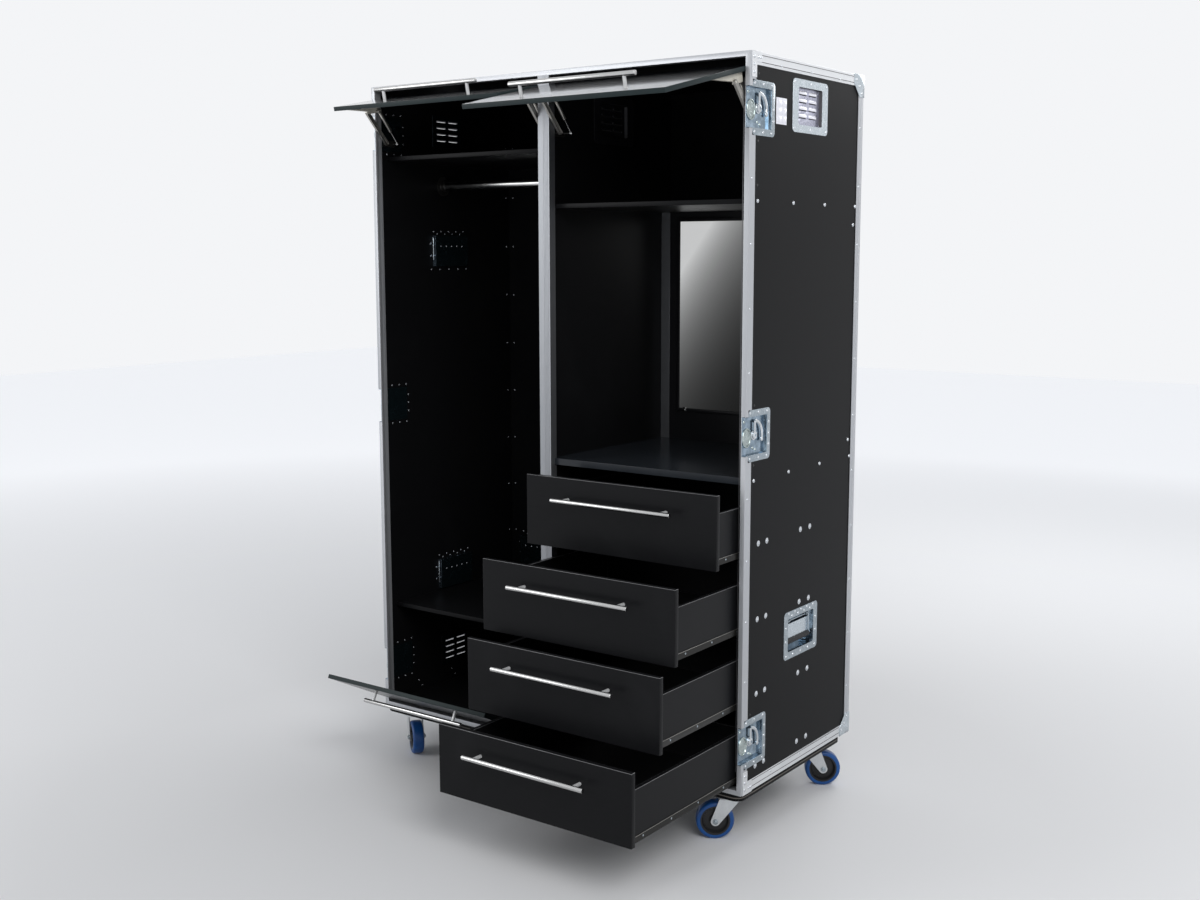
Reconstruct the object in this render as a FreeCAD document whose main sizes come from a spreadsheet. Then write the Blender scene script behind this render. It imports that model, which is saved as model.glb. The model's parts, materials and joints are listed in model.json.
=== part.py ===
import FreeCAD, Part
import math
import os

import Sketcher
from FreeCAD import Placement, Rotation, Vector

# Wardrobe trunk: a panelled road case on four swivel castors, open at the front.
# A divider makes two compartments. The left one has two shelves, a clothes rail, a small flap
# that lifts and a flap that drops. The right one has a shelf, a large flap that lifts, a mirror,
# a counter and four drawers. Frame: +X to the right, +Y to the back, +Z up, ground at z = 0.
# Every piece is drawn with y counted from the front of the case, and then placed.

SIZES = {
    # case, outside its aluminium profiles
    "case_width": 1260.0,
    "case_depth": 615.0,
    "case_height": 1850.0,
    "panel_thickness": 9.5,
    "profile_wall": 1.5,
    "profile_outer_flange": 30.0,
    "profile_inner_flange": 25.0,
    "edge_flange": 30.0,
    "base_thickness": 18.0,
    "base_back_inset": 43.0,
    "base_side_inset": 2.0,
    "base_corner_radius": 25.0,
    # divider
    "divider_offset": 4.0,
    "divider_thickness": 16.0,
    "divider_face": 37.0,
    "groove_width": 1.2,
    "groove_depth": 0.5,
    "groove_pitch": 4.5,
    # shelves: drops run from the top of the case, heights from its underside, to the shelf's underside
    "shelf_thickness": 12.0,
    "left_shelf_drop": 207.0,
    "left_shelf_setback": 50.0,
    "low_shelf_height": 304.0,
    "low_shelf_setback": 45.0,
    "right_shelf_drop": 357.0,
    "right_shelf_setback": 26.0,
    "counter_height": 802.0,
    "counter_thickness": 18.0,
    "counter_setback": 17.0,
    "rail_diameter": 25.0,
    "rail_bore": 22.0,
    "rail_below_shelf": 65.0,
    "rail_setback": 288.0,
    "rail_socket_diameter": 58.0,
    "rail_socket_depth": 16.0,
    # mirror
    "mirror_side_gap": 57.5,
    "mirror_above_counter": 94.0,
    "mirror_below_shelf": 27.0,
    "mirror_thickness": 4.0,
    "mirror_frame_width": 10.0,
    "mirror_frame_depth": 6.0,
    "mirror_board_setback": 557.0,
    "mirror_board_thickness": 10.0,
    "angle_flange": 30.0,
    "angle_wall": 2.0,
    # drawers
    "drawer_face_inset": 2.0,
    "drawer_front_thickness": 15.0,
    "drawer_front_height": 188.0,
    "drawer_last_front_height": 180.0,
    "drawer_first_top": 792.5,
    "drawer_pitch": 196.5,
    "drawer_side_gap": 13.0,
    "drawer_front_gap": 2.0,
    "drawer_box_drop": 48.0,
    "drawer_box_height": 128.0,
    "drawer_box_length": 530.0,
    "drawer_board": 12.0,
    "drawer_bottom_rise": 10.0,
    "drawer_bottom_thickness": 8.0,
    "drawer_first_open": 109.9,
    "drawer_second_open": 292.6,
    "drawer_third_open": 356.0,
    "drawer_fourth_open": 469.6,
    # drawer runners
    "runner_length": 525.0,
    "runner_wall": 1.2,
    "runner_start": 27.0,
    "runner_strip_height": 16.0,
    "roller_radius": 7.0,
    "roller_width": 5.0,
    # bar handles of drawers and flaps
    "bar_length": 370.0,
    "bar_diameter": 12.0,
    "bar_post_spacing": 306.0,
    "bar_post_diameter": 9.0,
    "bar_standoff": 32.0,
    "bar_edge_distance": 56.0,
    # flaps
    "flap_thickness": 12.0,
    "flap_face_inset": 7.0,
    "flap_side_gap": 1.5,
    "flap_pin_setback": 12.0,
    "flap_pin_radius": 3.0,
    "flap_pin_length": 6.0,
    "pin_clearance": 0.05,
    "lift_pin_drop": 25.0,
    "lift_top_gap": 2.0,
    "left_flap_length": 177.5,
    "right_flap_length": 365.5,
    "left_flap_open": 78.2,
    "right_flap_open": 76.8,
    "drop_pin_rise": 9.5,
    "drop_edge_gap": 3.5,
    "drop_flap_length": 289.0,
    "drop_flap_open": 63.0,
    # stays of the lifting flaps
    "stay_standoff": 19.5,
    "stay_arm_reach": 55.5,
    "stay_strut_reach": 18.5,
    "arm_length": 111.8,
    "arm_lean": 42.8,
    "arm_width": 12.0,
    "arm_depth": 7.0,
    "arm_wall": 1.5,
    "arm_slot_length": 50.0,
    "arm_inset": 1.5,
    "stay_stud_radius": 2.5,
    "layer_gap": 0.4,
    "lug_thickness": 2.0,
    "wedge_length": 80.0,
    "wedge_width": 12.6,
    "wedge_height": 17.0,
    "strut_length": 115.3,
    "strut_lean": 38.7,
    "strut_cylinder_radius": 5.0,
    "strut_cylinder_length": 72.0,
    "strut_rod_radius": 2.0,
    "strut_rod_clearance": 0.3,
    "strut_eye_radius": 5.0,
    "wall_plate_thickness": 3.0,
    "wall_plate_margin": 9.0,
    # recessed dishes
    "dish_sheet": 1.2,
    "dish_corner": 12.0,
    "cut_clearance": 0.5,
    "fitting_line": 310.0,
    "latch_flange_start": 14.0,
    "latch_flange_end": 124.0,
    "latch_flange_height": 130.0,
    "latch_pan_end": 110.0,
    "latch_pan_height": 98.0,
    "latch_end_distance": 130.0,
    "latch_wing_line": 54.0,
    "latch_disc_radius": 18.0,
    "latch_disc_thickness": 2.4,
    "latch_boss_radius": 9.0,
    "latch_lever_radius": 36.0,
    "latch_lever_width": 8.0,
    "latch_lever_thickness": 2.5,
    "latch_lever_dip": 20.0,
    "latch_knob_radius": 6.0,
    "latch_knob_height": 4.5,
    "latch_spindle_radius": 3.0,
    "latch_lift": 1.0,
    "handle_flange_length": 187.0,
    "handle_flange_height": 130.0,
    "handle_pan_length": 146.0,
    "handle_pan_height": 93.0,
    "handle_pan_depth": 22.0,
    "handle_low": 368.0,
    "handle_below_top": 468.0,
    "back_handle_inset": 126.0,
    "back_handle_height": 392.0,
    "grip_radius": 8.0,
    "grip_drop": 56.0,
    "grip_arm_thickness": 4.0,
    "grip_arm_width": 12.0,
    "grip_pin_radius": 3.0,
    "grip_pin_below_top": 12.0,
    "grip_pin_depth": 11.0,
    "vent_flange_length": 190.0,
    "vent_flange_height": 132.0,
    "vent_pan_length": 131.0,
    "vent_pan_height": 95.0,
    "vent_pan_depth": 10.0,
    "vent_below_top": 108.0,
    "vent_low": 112.0,
    "louvre_length": 46.0,
    "louvre_height": 5.0,
    "louvre_pitch": 19.0,
    "louvre_lip": 2.0,
    "louvre_rise": 4.0,
    # corner fittings
    "ball_radius": 21.0,
    "ball_proud": 4.0,
    "corner_reach": 58.0,
    "corner_sheet": 1.5,
    "corner_lobe": 0.45,
    "brace_reach": 60.0,
    "brace_width": 46.0,
    "brace_start": 8.0,
    # castors
    "castor_height": 125.0,
    "castor_side_inset": 68.0,
    "castor_front_inset": 54.0,
    "castor_back_inset": 60.0,
    "castor_plate_length": 100.0,
    "castor_plate_width": 84.0,
    "castor_plate_thickness": 3.0,
    "castor_race_radius": 31.0,
    "castor_race_height": 8.0,
    "castor_crown_thickness": 3.0,
    "castor_trail": 35.0,
    "castor_fork_wall": 3.0,
    "castor_fork_gap": 2.0,
    "castor_axle_radius": 5.0,
    "castor_arm_radius": 12.0,
    "castor_arm_corner": 4.0,
    "castor_arm_top": 26.0,
    "kingpin_radius": 6.0,
    "wheel_diameter": 100.0,
    "wheel_width": 34.0,
    "tyre_thickness": 11.0,
    "hub_radius": 14.0,
    "wheel_web": 10.0,
    "wheel_rim": 5.0,
    "castor_heading_front_left": 322.6,
    "castor_heading_front_right": 216.1,
    "castor_heading_back_left": 143.9,
    "castor_heading_back_right": 36.1,
}

PLANES = {"XY": ("XY_Plane", 1), "XZ": ("XZ_Plane", -1), "YZ": ("YZ_Plane", 1)}

doc = FreeCAD.newDocument("wardrobe_trunk")
sheet = doc.addObject("Spreadsheet::Sheet", "Sizes")
for row, (alias, number) in enumerate(SIZES.items(), start=1):
    sheet.set(f"A{row}", alias)
    sheet.set(f"B{row}", str(number))
    sheet.setAlias(f"B{row}", alias)
doc.recompute()

parts = {}
cuts = []


class Size:
    """A size that keeps its formula, so that a property can be bound to it."""

    def __init__(self, text, value):
        self.text = text
        self.value = value

    def __add__(self, other):
        other = as_size(other)
        return Size(f"({self.text} + {other.text})", self.value + other.value)

    def __sub__(self, other):
        other = as_size(other)
        return Size(f"({self.text} - {other.text})", self.value - other.value)

    def __mul__(self, other):
        other = as_size(other)
        return Size(f"({self.text} * {other.text})", self.value * other.value)

    def __truediv__(self, other):
        other = as_size(other)
        return Size(f"({self.text} / {other.text})", self.value / other.value)

    def __neg__(self):
        return Size(f"(0 - {self.text})", -self.value)

    def __radd__(self, other):
        return as_size(other) + self

    def __rsub__(self, other):
        return as_size(other) - self

    def __rmul__(self, other):
        return as_size(other) * self


class Sheet:
    """Driving sizes of the sheet, read by name."""

    def __getattr__(self, alias):
        return Size(f"Sizes.{alias}", float(sheet.get(alias)))


def as_size(item):
    return item if isinstance(item, Size) else Size(f"({float(item)})", float(item))


def sine(angle):
    return Size(f"sin({angle.text})", math.sin(math.radians(angle.value)))


def cosine(angle):
    return Size(f"cos({angle.text})", math.cos(math.radians(angle.value)))


def bind(item, path, size):
    """Set a property to a size by formula, or by number where no driving size is in it."""
    size = as_size(size)
    if "Sizes." in size.text:
        item.setExpression(path, size.text)
    else:
        item.setExpression(path, f"{size.value}")


s = Sheet()

# Places that several pieces share.
half_width = s.case_width / 2
floor = s.castor_height + s.base_thickness
roof = floor + s.case_height
skin = s.profile_wall + s.panel_thickness
wall_in = half_width - skin
wall_out = half_width - s.profile_wall
opening = wall_in - s.profile_wall
sill = floor + skin + s.profile_wall
lintel = roof - skin - s.profile_wall
bay_floor = floor + skin
bay_roof = roof - skin
back_in = s.case_depth - skin
back_out = s.case_depth - s.profile_wall
divider_left = s.divider_offset - s.divider_thickness / 2
divider_right = s.divider_offset + s.divider_thickness / 2
post_left = s.divider_offset - s.divider_face / 2
post_right = s.divider_offset + s.divider_face / 2
drawer_opens = [s.drawer_first_open, s.drawer_second_open, s.drawer_third_open, s.drawer_fourth_open]
handle_front = s.drawer_face_inset - s.drawer_fourth_open - s.bar_standoff - s.bar_diameter / 2
front = -(s.case_depth + s.ball_proud + handle_front) / 2
latch_heights = [s.latch_end_distance, s.case_height / 2, s.case_height - s.latch_end_distance]
handle_high = s.case_height - s.handle_below_top
vent_high = s.case_height - s.vent_below_top
back_handle_x = s.back_handle_inset - half_width
counter_underside = floor + s.counter_height
left_shelf_underside = roof - s.left_shelf_drop
shelf_underside = roof - s.right_shelf_drop


# Sketches -----------------------------------------------------------------------------------

def origin_plane(body, role):
    return next(item for item in body.Origin.OriginFeatures if item.Role == role)


def sketch_on(body, name, plane, offset):
    """A sketch parallel to one of the body's own planes, offset along that plane's normal."""
    sketch = body.newObject("Sketcher::SketchObject", f"{body.Name}_{name}_sketch")
    sketch.AttachmentSupport = [(origin_plane(body, PLANES[plane][0]), "")]
    sketch.MapMode = "FlatFace"
    bind(sketch, "AttachmentOffset.Base.z", offset)
    return sketch


def hold(sketch, geometry, point, u, v):
    """Hold one point of a sketch at a place worked out from the driving sizes."""
    for kind, size in (("DistanceX", as_size(u)), ("DistanceY", as_size(v))):
        index = sketch.addConstraint(Sketcher.Constraint(kind, -1, 1, geometry, point, size.value))
        bind(sketch, f"Constraints[{index}]", size)


def polygon(sketch, points):
    """A closed outline of straight lines."""
    places = [(as_size(u), as_size(v)) for u, v in points]
    first = sketch.GeometryCount
    count = len(places)
    for index in range(count):
        start = places[index]
        end = places[(index + 1) % count]
        ends = [Vector(place[0].value, place[1].value, 0) for place in (start, end)]
        sketch.addGeometry(Part.LineSegment(*ends), False)
    for index in range(count):
        following = first + (index + 1) % count
        sketch.addConstraint(Sketcher.Constraint("Coincident", first + index, 2, following, 1))
        hold(sketch, first + index, 1, *places[index])


def rectangle(sketch, left, low, right, high):
    polygon(sketch, [(left, low), (right, low), (right, high), (left, high)])


def ring(sketch, outer, inner):
    """A rectangle with a rectangular hole; each is (left, low, right, high)."""
    rectangle(sketch, *outer)
    rectangle(sketch, *inner)


def circle(sketch, u, v, radius):
    u, v, radius = as_size(u), as_size(v), as_size(radius)
    shape = Part.Circle(Vector(u.value, v.value, 0), Vector(0, 0, 1), radius.value)
    geometry = sketch.addGeometry(shape, False)
    hold(sketch, geometry, 3, u, v)
    index = sketch.addConstraint(Sketcher.Constraint("Radius", geometry, radius.value))
    bind(sketch, f"Constraints[{index}]", radius)


def arc_chain(sketch, arcs):
    """A closed outline of arcs joined by tangent lines; each arc is (u, v, radius, start, end)."""
    count = len(arcs)
    first = sketch.GeometryCount
    for index in range(count):
        u, v, radius, start, end = arcs[index]
        u, v, radius = as_size(u), as_size(v), as_size(radius)
        round_end = Part.Circle(Vector(u.value, v.value, 0), Vector(0, 0, 1), radius.value)
        arc = Part.ArcOfCircle(round_end, math.radians(start), math.radians(end))
        following = arcs[(index + 1) % count]
        next_u, next_v, next_radius = (as_size(item) for item in following[:3])
        turn = math.radians(following[3])
        reach = Vector(math.cos(turn), math.sin(turn), 0) * next_radius.value
        meet = Vector(next_u.value, next_v.value, 0) + reach
        sketch.addGeometry(arc, False)
        sketch.addGeometry(Part.LineSegment(arc.EndPoint, meet), False)
    for index in range(count):
        arc = first + 2 * index
        following = first + 2 * ((index + 1) % count)
        u, v, radius = (as_size(item) for item in arcs[index][:3])
        hold(sketch, arc, 3, u, v)
        fixed = sketch.addConstraint(Sketcher.Constraint("Radius", arc, radius.value))
        bind(sketch, f"Constraints[{fixed}]", radius)
        sketch.addConstraint(Sketcher.Constraint("Tangent", arc, 2, arc + 1, 1))
        sketch.addConstraint(Sketcher.Constraint("Tangent", arc + 1, 2, following, 1))


def rounded(sketch, left, low, right, high, radius):
    """A rectangle with round corners."""
    arc_chain(sketch, [
        (left + radius, low + radius, radius, 180, 270),
        (right - radius, low + radius, radius, 270, 360),
        (right - radius, high - radius, radius, 0, 90),
        (left + radius, high - radius, radius, 90, 180),
    ])


def slot(sketch, u, low, high, radius):
    """An upright slot, whose round ends are centred at the two heights."""
    arc_chain(sketch, [(u, low, radius, 180, 360), (u, high, radius, 0, 180)])


# Features -----------------------------------------------------------------------------------

def new_body(label):
    body = doc.addObject("PartDesign::Body", label)
    body.Label = label
    body.AllowCompound = True
    return body


def add(body, name, plane, low, high, draw):
    """Pad an outline between two places along the normal of its plane."""
    low, high = as_size(low), as_size(high)
    sketch = sketch_on(body, name, plane, low if PLANES[plane][1] > 0 else -high)
    draw(sketch)
    feature = body.newObject("PartDesign::Pad", f"{body.Name}_{name}")
    feature.Profile = sketch
    bind(feature, "Length", high - low)
    return feature


def cut(body, name, plane, low, high, draw):
    """Pocket an outline between two places along the normal of its plane."""
    low, high = as_size(low), as_size(high)
    sketch = sketch_on(body, name, plane, high if PLANES[plane][1] > 0 else -low)
    draw(sketch)
    feature = body.newObject("PartDesign::Pocket", f"{body.Name}_{name}")
    feature.Profile = sketch
    bind(feature, "Length", high - low)
    cuts.append(feature)
    return feature


def across(side, near, far):
    """A span of X on one side of the case, ordered from low to high."""
    return (near, far) if side > 0 else (-far, -near)


def across_from(side, near, far):
    """Two places along X, ordered from low to high, where side is the way from near to far."""
    return (near, far) if side > 0 else (far, near)


def keep(item, base=(0, 0, 0), turn=None):
    """Place a finished sub-part and enter it in the list of parts.

    base is counted from the front of the case; turn is an axis and an angle.
    """
    if turn:
        item.Placement = Placement(Vector(), Rotation(turn[0], 1))
        bind(item, "Placement.Rotation.Angle", turn[1])
    bind(item, "Placement.Base.x", base[0])
    bind(item, "Placement.Base.y", front + base[1])
    bind(item, "Placement.Base.z", base[2])
    parts[item.Label] = item
    return item


def group(label, pieces):
    """Several separate pieces that are kept under one name."""
    item = doc.addObject("Part::Compound", label)
    item.Label = label
    item.Links = pieces
    return item


# Panels and profiles ------------------------------------------------------------------------

def side_panel(side, label, handles, vents, pins):
    """A side wall with its cut-outs: latch dishes at the front edge, handle and vent dishes."""
    body = new_body(label)
    near, far = across(side, wall_in, wall_out)
    add(body, "sheet", "YZ", near, far, lambda k: rectangle(
        k, s.profile_wall, floor + s.profile_wall, back_out, roof - s.profile_wall))

    def openings(k):
        for height in latch_heights:
            reach = s.latch_pan_height / 2 + s.cut_clearance
            rectangle(k, 0, floor + height - reach, s.latch_pan_end + s.cut_clearance, floor + height + reach)
        windows = [(height, s.handle_pan_length, s.handle_pan_height) for height in handles]
        windows += [(height, s.vent_pan_length, s.vent_pan_height) for height in vents]
        for height, length, tall in windows:
            reach_y = length / 2 + s.cut_clearance
            reach_z = tall / 2 + s.cut_clearance
            rectangle(k, s.fitting_line - reach_y, floor + height - reach_z,
                      s.fitting_line + reach_y, floor + height + reach_z)

    cut(body, "openings", "YZ", near, far, openings)
    depth = s.flap_pin_length
    near, far = across(side, wall_in, wall_in + depth)
    cut(body, "pin_holes", "YZ", near, far, lambda k: [pin_hole(k, height) for height in pins])
    keep(body)


def pin_hole(sketch, height):
    circle(sketch, s.flap_pin_setback, height, s.flap_pin_radius + s.pin_clearance)


lift_pin_height = lintel - s.lift_pin_drop
drop_pin_height = sill + s.drop_pin_rise


def plain_panels():
    """Top, bottom, back and base boards."""
    for label, low, high in (
            ("top_panel", bay_roof, roof - s.profile_wall),
            ("bottom_panel", floor + s.profile_wall, bay_floor)):
        body = new_body(label)
        add(body, "sheet", "XY", low, high, lambda k: rectangle(
            k, -wall_in, s.profile_wall, wall_in, back_in))
        keep(body)
    body = new_body("back_panel")
    add(body, "sheet", "XZ", back_in, back_out, lambda k: rectangle(
        k, -wall_in, floor + s.profile_wall, wall_in, roof - s.profile_wall))
    reach_x = s.handle_pan_length / 2 + s.cut_clearance
    reach_z = s.handle_pan_height / 2 + s.cut_clearance
    height = floor + s.back_handle_height
    middle = back_handle_x
    cut(body, "handle_opening", "XZ", back_in, back_out, lambda k: rectangle(
        k, middle - reach_x, height - reach_z, middle + reach_x, height + reach_z))
    keep(body)
    body = new_body("base_board")
    edge = half_width - s.base_side_inset
    add(body, "board", "XY", s.castor_height, floor, lambda k: rounded(
        k, -edge, 0, edge, s.case_depth - s.base_back_inset, s.base_corner_radius))

    def rebates(k):
        gap = s.cut_clearance
        for side in (-1, 1):
            for reach, near, far in (
                    (s.brace_reach, s.brace_start - gap, s.brace_start + s.brace_width + gap),
                    (s.corner_reach, s.case_depth - s.corner_reach - gap, s.case_depth)):
                left, right = across(side, half_width - reach - gap, half_width + gap)
                rectangle(k, left, near, right, far)

    cut(body, "corner_rebates", "XY", floor - s.corner_sheet - s.cut_clearance, floor, rebates)
    keep(body)


def front_profile():
    """The closing profile round the open front, notched where the latches reach through it."""
    body = new_body("front_profile")
    outside = (-half_width, floor, half_width, roof)
    clear = (-opening, sill, opening, lintel)
    add(body, "face", "XZ", 0, s.profile_wall, lambda k: ring(k, outside, clear))
    within = (-wall_out, floor + s.profile_wall, wall_out, roof - s.profile_wall)
    add(body, "outer_flange", "XZ", 0, s.profile_outer_flange, lambda k: ring(k, outside, within))
    seat = (-wall_in, bay_floor, wall_in, bay_roof)
    add(body, "inner_flange", "XZ", 0, s.profile_inner_flange, lambda k: ring(k, seat, clear))

    def notches(k):
        start = s.latch_flange_start - s.cut_clearance
        end = s.profile_outer_flange + 1
        for height in latch_heights:
            middle = floor + height
            near = s.latch_pan_height / 2 + s.cut_clearance
            far = s.latch_flange_height / 2 + s.cut_clearance
            polygon(k, [(-1, middle - near), (start, middle - near), (start, middle - far),
                        (end, middle - far), (end, middle + far), (start, middle + far),
                        (start, middle + near), (-1, middle + near)])

    for side, name, pins in (
            (1, "right", [lift_pin_height]),
            (-1, "left", [lift_pin_height, drop_pin_height])):
        near, far = across(side, wall_in, half_width + 1)
        cut(body, f"{name}_notches", "YZ", near, far, notches)
        near, far = across(side, opening - 1, wall_in)
        cut(body, f"{name}_pin_holes", "YZ", near, far, lambda k: [pin_hole(k, height) for height in pins])
    keep(body)


def edge_profiles():
    """Angle profiles along the eight edges behind the front frame, ending under the corners."""
    body = new_body("edge_profiles")
    flange = s.edge_flange
    inner = half_width - flange
    rear = s.case_depth - flange

    def angle(k, corner, inside, tips):
        """An angle section: its outer corner, its inner corner and how far its flanges reach."""
        polygon(k, [corner, (tips[0], corner[1]), (tips[0], inside[1]), inside,
                    (inside[0], tips[1]), (corner[0], tips[1])])

    levels = (("top", roof, roof - s.profile_wall, roof - flange),
              ("bottom", floor, floor + s.profile_wall, floor + flange))
    for side, name in ((1, "right"), (-1, "left")):
        out, within, tip = side * half_width, side * wall_out, side * inner
        for edge, level, skin_z, tip_z in levels:
            add(body, f"{name}_{edge}", "XZ", s.profile_outer_flange, rear,
                lambda k: angle(k, (out, level), (within, skin_z), (tip, tip_z)))
        add(body, f"{name}_back", "XY", floor + flange, roof - flange,
            lambda k: angle(k, (out, s.case_depth), (within, back_out), (tip, rear)))
    for edge, level, skin_z, tip_z in levels:
        add(body, f"back_{edge}", "YZ", -inner, inner,
            lambda k: angle(k, (s.case_depth, level), (back_out, skin_z), (rear, tip_z)))
    keep(body)


def divider():
    """The upright board between the compartments, and the hollow profile on its front edge."""
    body = new_body("divider_panel")
    add(body, "board", "YZ", divider_left, divider_right, lambda k: rectangle(
        k, s.profile_wall, bay_floor, back_in, bay_roof))
    reach_y = s.vent_pan_length / 2 + s.cut_clearance
    reach_z = s.vent_pan_height / 2 + s.cut_clearance
    height = floor + vent_high
    cut(body, "vent_opening", "YZ", divider_left, divider_right, lambda k: rectangle(
        k, s.fitting_line - reach_y, height - reach_z, s.fitting_line + reach_y, height + reach_z))
    for name, edge, height_low in (("top", bay_roof - s.profile_wall, bay_roof), ("foot", bay_floor, sill)):
        cut(body, f"{name}_relief", "YZ", divider_left, divider_right, lambda k: rectangle(
            k, 0, edge, s.profile_inner_flange + s.cut_clearance, height_low))
    keep(body)

    body = new_body("divider_profile")
    wall = s.profile_wall
    deep = s.profile_inner_flange

    def section(k):
        polygon(k, [(post_left, 0), (post_right, 0), (post_right, deep), (divider_right, deep),
                    (divider_right, wall), (divider_left, wall), (divider_left, deep), (post_left, deep)])
        rectangle(k, post_left + wall, wall, divider_left - wall, deep - wall)
        rectangle(k, divider_right + wall, wall, post_right - wall, deep - wall)

    add(body, "section", "XY", sill, lintel, section)

    def grooves(k):
        for count in range(1, 5):
            right = post_right - s.groove_pitch * count
            rectangle(k, right - s.groove_width, -1, right, s.groove_depth)

    cut(body, "grooves", "XY", sill, lintel, grooves)
    cut(body, "right_pin_hole", "YZ", post_right - wall, post_right, lambda k: pin_hole(k, lift_pin_height))
    cut(body, "left_pin_holes", "YZ", post_left, post_left + wall,
        lambda k: [pin_hole(k, height) for height in (lift_pin_height, drop_pin_height)])
    keep(body)


# Fixed interior -----------------------------------------------------------------------------

def shelves():
    """Two shelves at the left and one at the right, between the wall and the divider."""
    body = new_body("shelves")
    for name, left, right, low, setback in (
            ("left_upper", -wall_in, divider_left, left_shelf_underside, s.left_shelf_setback),
            ("left_lower", -wall_in, divider_left, floor + s.low_shelf_height, s.low_shelf_setback),
            ("right_upper", divider_right, wall_in, shelf_underside, s.right_shelf_setback)):
        add(body, name, "XY", low, low + s.shelf_thickness,
            lambda k: rectangle(k, left, setback, right, back_in))
    keep(body)


def counter():
    """The worktop over the drawers, from the profiles at its front corners to the mirror's angles."""
    body = new_body("counter")
    low = counter_underside
    notch = s.profile_inner_flange
    rear = s.mirror_board_setback - s.angle_wall
    add(body, "top", "XY", low, low + s.counter_thickness, lambda k: polygon(k, [
        (post_right, s.counter_setback), (opening, s.counter_setback), (opening, notch), (wall_in, notch),
        (wall_in, rear), (divider_right, rear), (divider_right, notch), (post_right, notch)]))
    keep(body)


def clothes_rail():
    """A steel tube between two flanged sockets."""
    tube = new_body("rail_tube")
    height = left_shelf_underside - s.rail_below_shelf
    plate = s.dish_sheet * 2
    add(tube, "tube", "YZ", -wall_in + plate, divider_left - plate, lambda k: [
        circle(k, s.rail_setback, height, s.rail_diameter / 2),
        circle(k, s.rail_setback, height, s.rail_bore / 2)])
    body = new_body("rail_sockets")
    bore = s.rail_diameter / 2 + s.pin_clearance
    for name, near, far, low, high in (
            ("left", -wall_in, -wall_in + plate, -wall_in, -wall_in + s.rail_socket_depth),
            ("right", divider_left - plate, divider_left, divider_left - s.rail_socket_depth, divider_left)):
        add(body, f"{name}_flange", "YZ", near, far,
            lambda k: circle(k, s.rail_setback, height, s.rail_socket_diameter / 2))
        near, far = (far, high) if name == "left" else (low, near)
        add(body, f"{name}_collar", "YZ", near, far, lambda k: [
            circle(k, s.rail_setback, height, bore + plate),
            circle(k, s.rail_setback, height, bore)])
    keep(group("clothes_rail", [tube, body]))


def mirror():
    """The board behind the counter, its two fixing angles, and the framed glass on it."""
    board = new_body("mirror_backing")
    face = s.mirror_board_setback
    inset = s.angle_wall + s.cut_clearance
    add(board, "board", "XZ", face, face + s.mirror_board_thickness, lambda k: rectangle(
        k, divider_right + inset, counter_underside, wall_in - inset, shelf_underside))
    left, right = post_right + s.mirror_side_gap, opening - s.mirror_side_gap
    low = counter_underside + s.counter_thickness + s.mirror_above_counter
    high = shelf_underside - s.mirror_below_shelf
    rim = s.mirror_frame_width
    frame = new_body("mirror_frame")
    add(frame, "frame", "XZ", face - s.mirror_frame_depth, face, lambda k: ring(
        k, (left - rim, low - rim, right + rim, high + rim), (left, low, right, high)))
    keep(group("mirror_board", [board, frame]))

    body = new_body("mirror_pane")
    add(body, "glass", "XZ", face - s.mirror_thickness, face, lambda k: rectangle(k, left, low, right, high))
    keep(body)

    body = new_body("mirror_angles")
    for side, name, wall in ((1, "left", divider_right), (-1, "right", wall_in)):
        tip = wall + side * s.angle_flange
        inside = wall + side * s.angle_wall
        add(body, name, "XY", counter_underside, shelf_underside, lambda k: polygon(k, [
            (wall, face - s.angle_wall), (tip, face - s.angle_wall), (tip, face), (inside, face),
            (inside, face + s.angle_flange), (wall, face + s.angle_flange)]))
    keep(body)


# Recessed dishes ----------------------------------------------------------------------------

def latch_dishes():
    """Six pans let into the side walls, open towards the front, each with a spindle."""
    body = new_body("latch_dishes")
    for side, side_name in ((1, "right"), (-1, "left")):
        for number, height in enumerate(latch_heights, start=1):
            name = f"{side_name}_{number}"
            middle = floor + height
            reach = s.latch_pan_height / 2
            near, far = across(side, wall_out, wall_out + s.dish_sheet)
            add(body, f"{name}_flange", "YZ", near, far, lambda k: rounded(
                k, s.latch_flange_start, middle - s.latch_flange_height / 2,
                s.latch_flange_end, middle + s.latch_flange_height / 2, s.dish_corner))
            near, far = across(side, wall_in, wall_out + s.dish_sheet)
            add(body, f"{name}_pan", "YZ", near, far, lambda k: rectangle(
                k, 0, middle - reach, s.latch_pan_end, middle + reach))
            near, far = across(side, wall_in + s.dish_sheet, wall_out + s.dish_sheet * 2)
            clear = reach - s.dish_sheet
            cut(body, f"{name}_recess", "YZ", near, far, lambda k: rectangle(
                k, -1, middle - clear, s.latch_pan_end - s.dish_sheet, middle + clear))
            near, far = across(side, wall_in + s.dish_sheet, wall_out - s.dish_sheet)
            add(body, f"{name}_spindle", "YZ", near, far, lambda k: circle(
                k, s.latch_wing_line, middle, s.latch_spindle_radius))
    keep(body)


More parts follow.
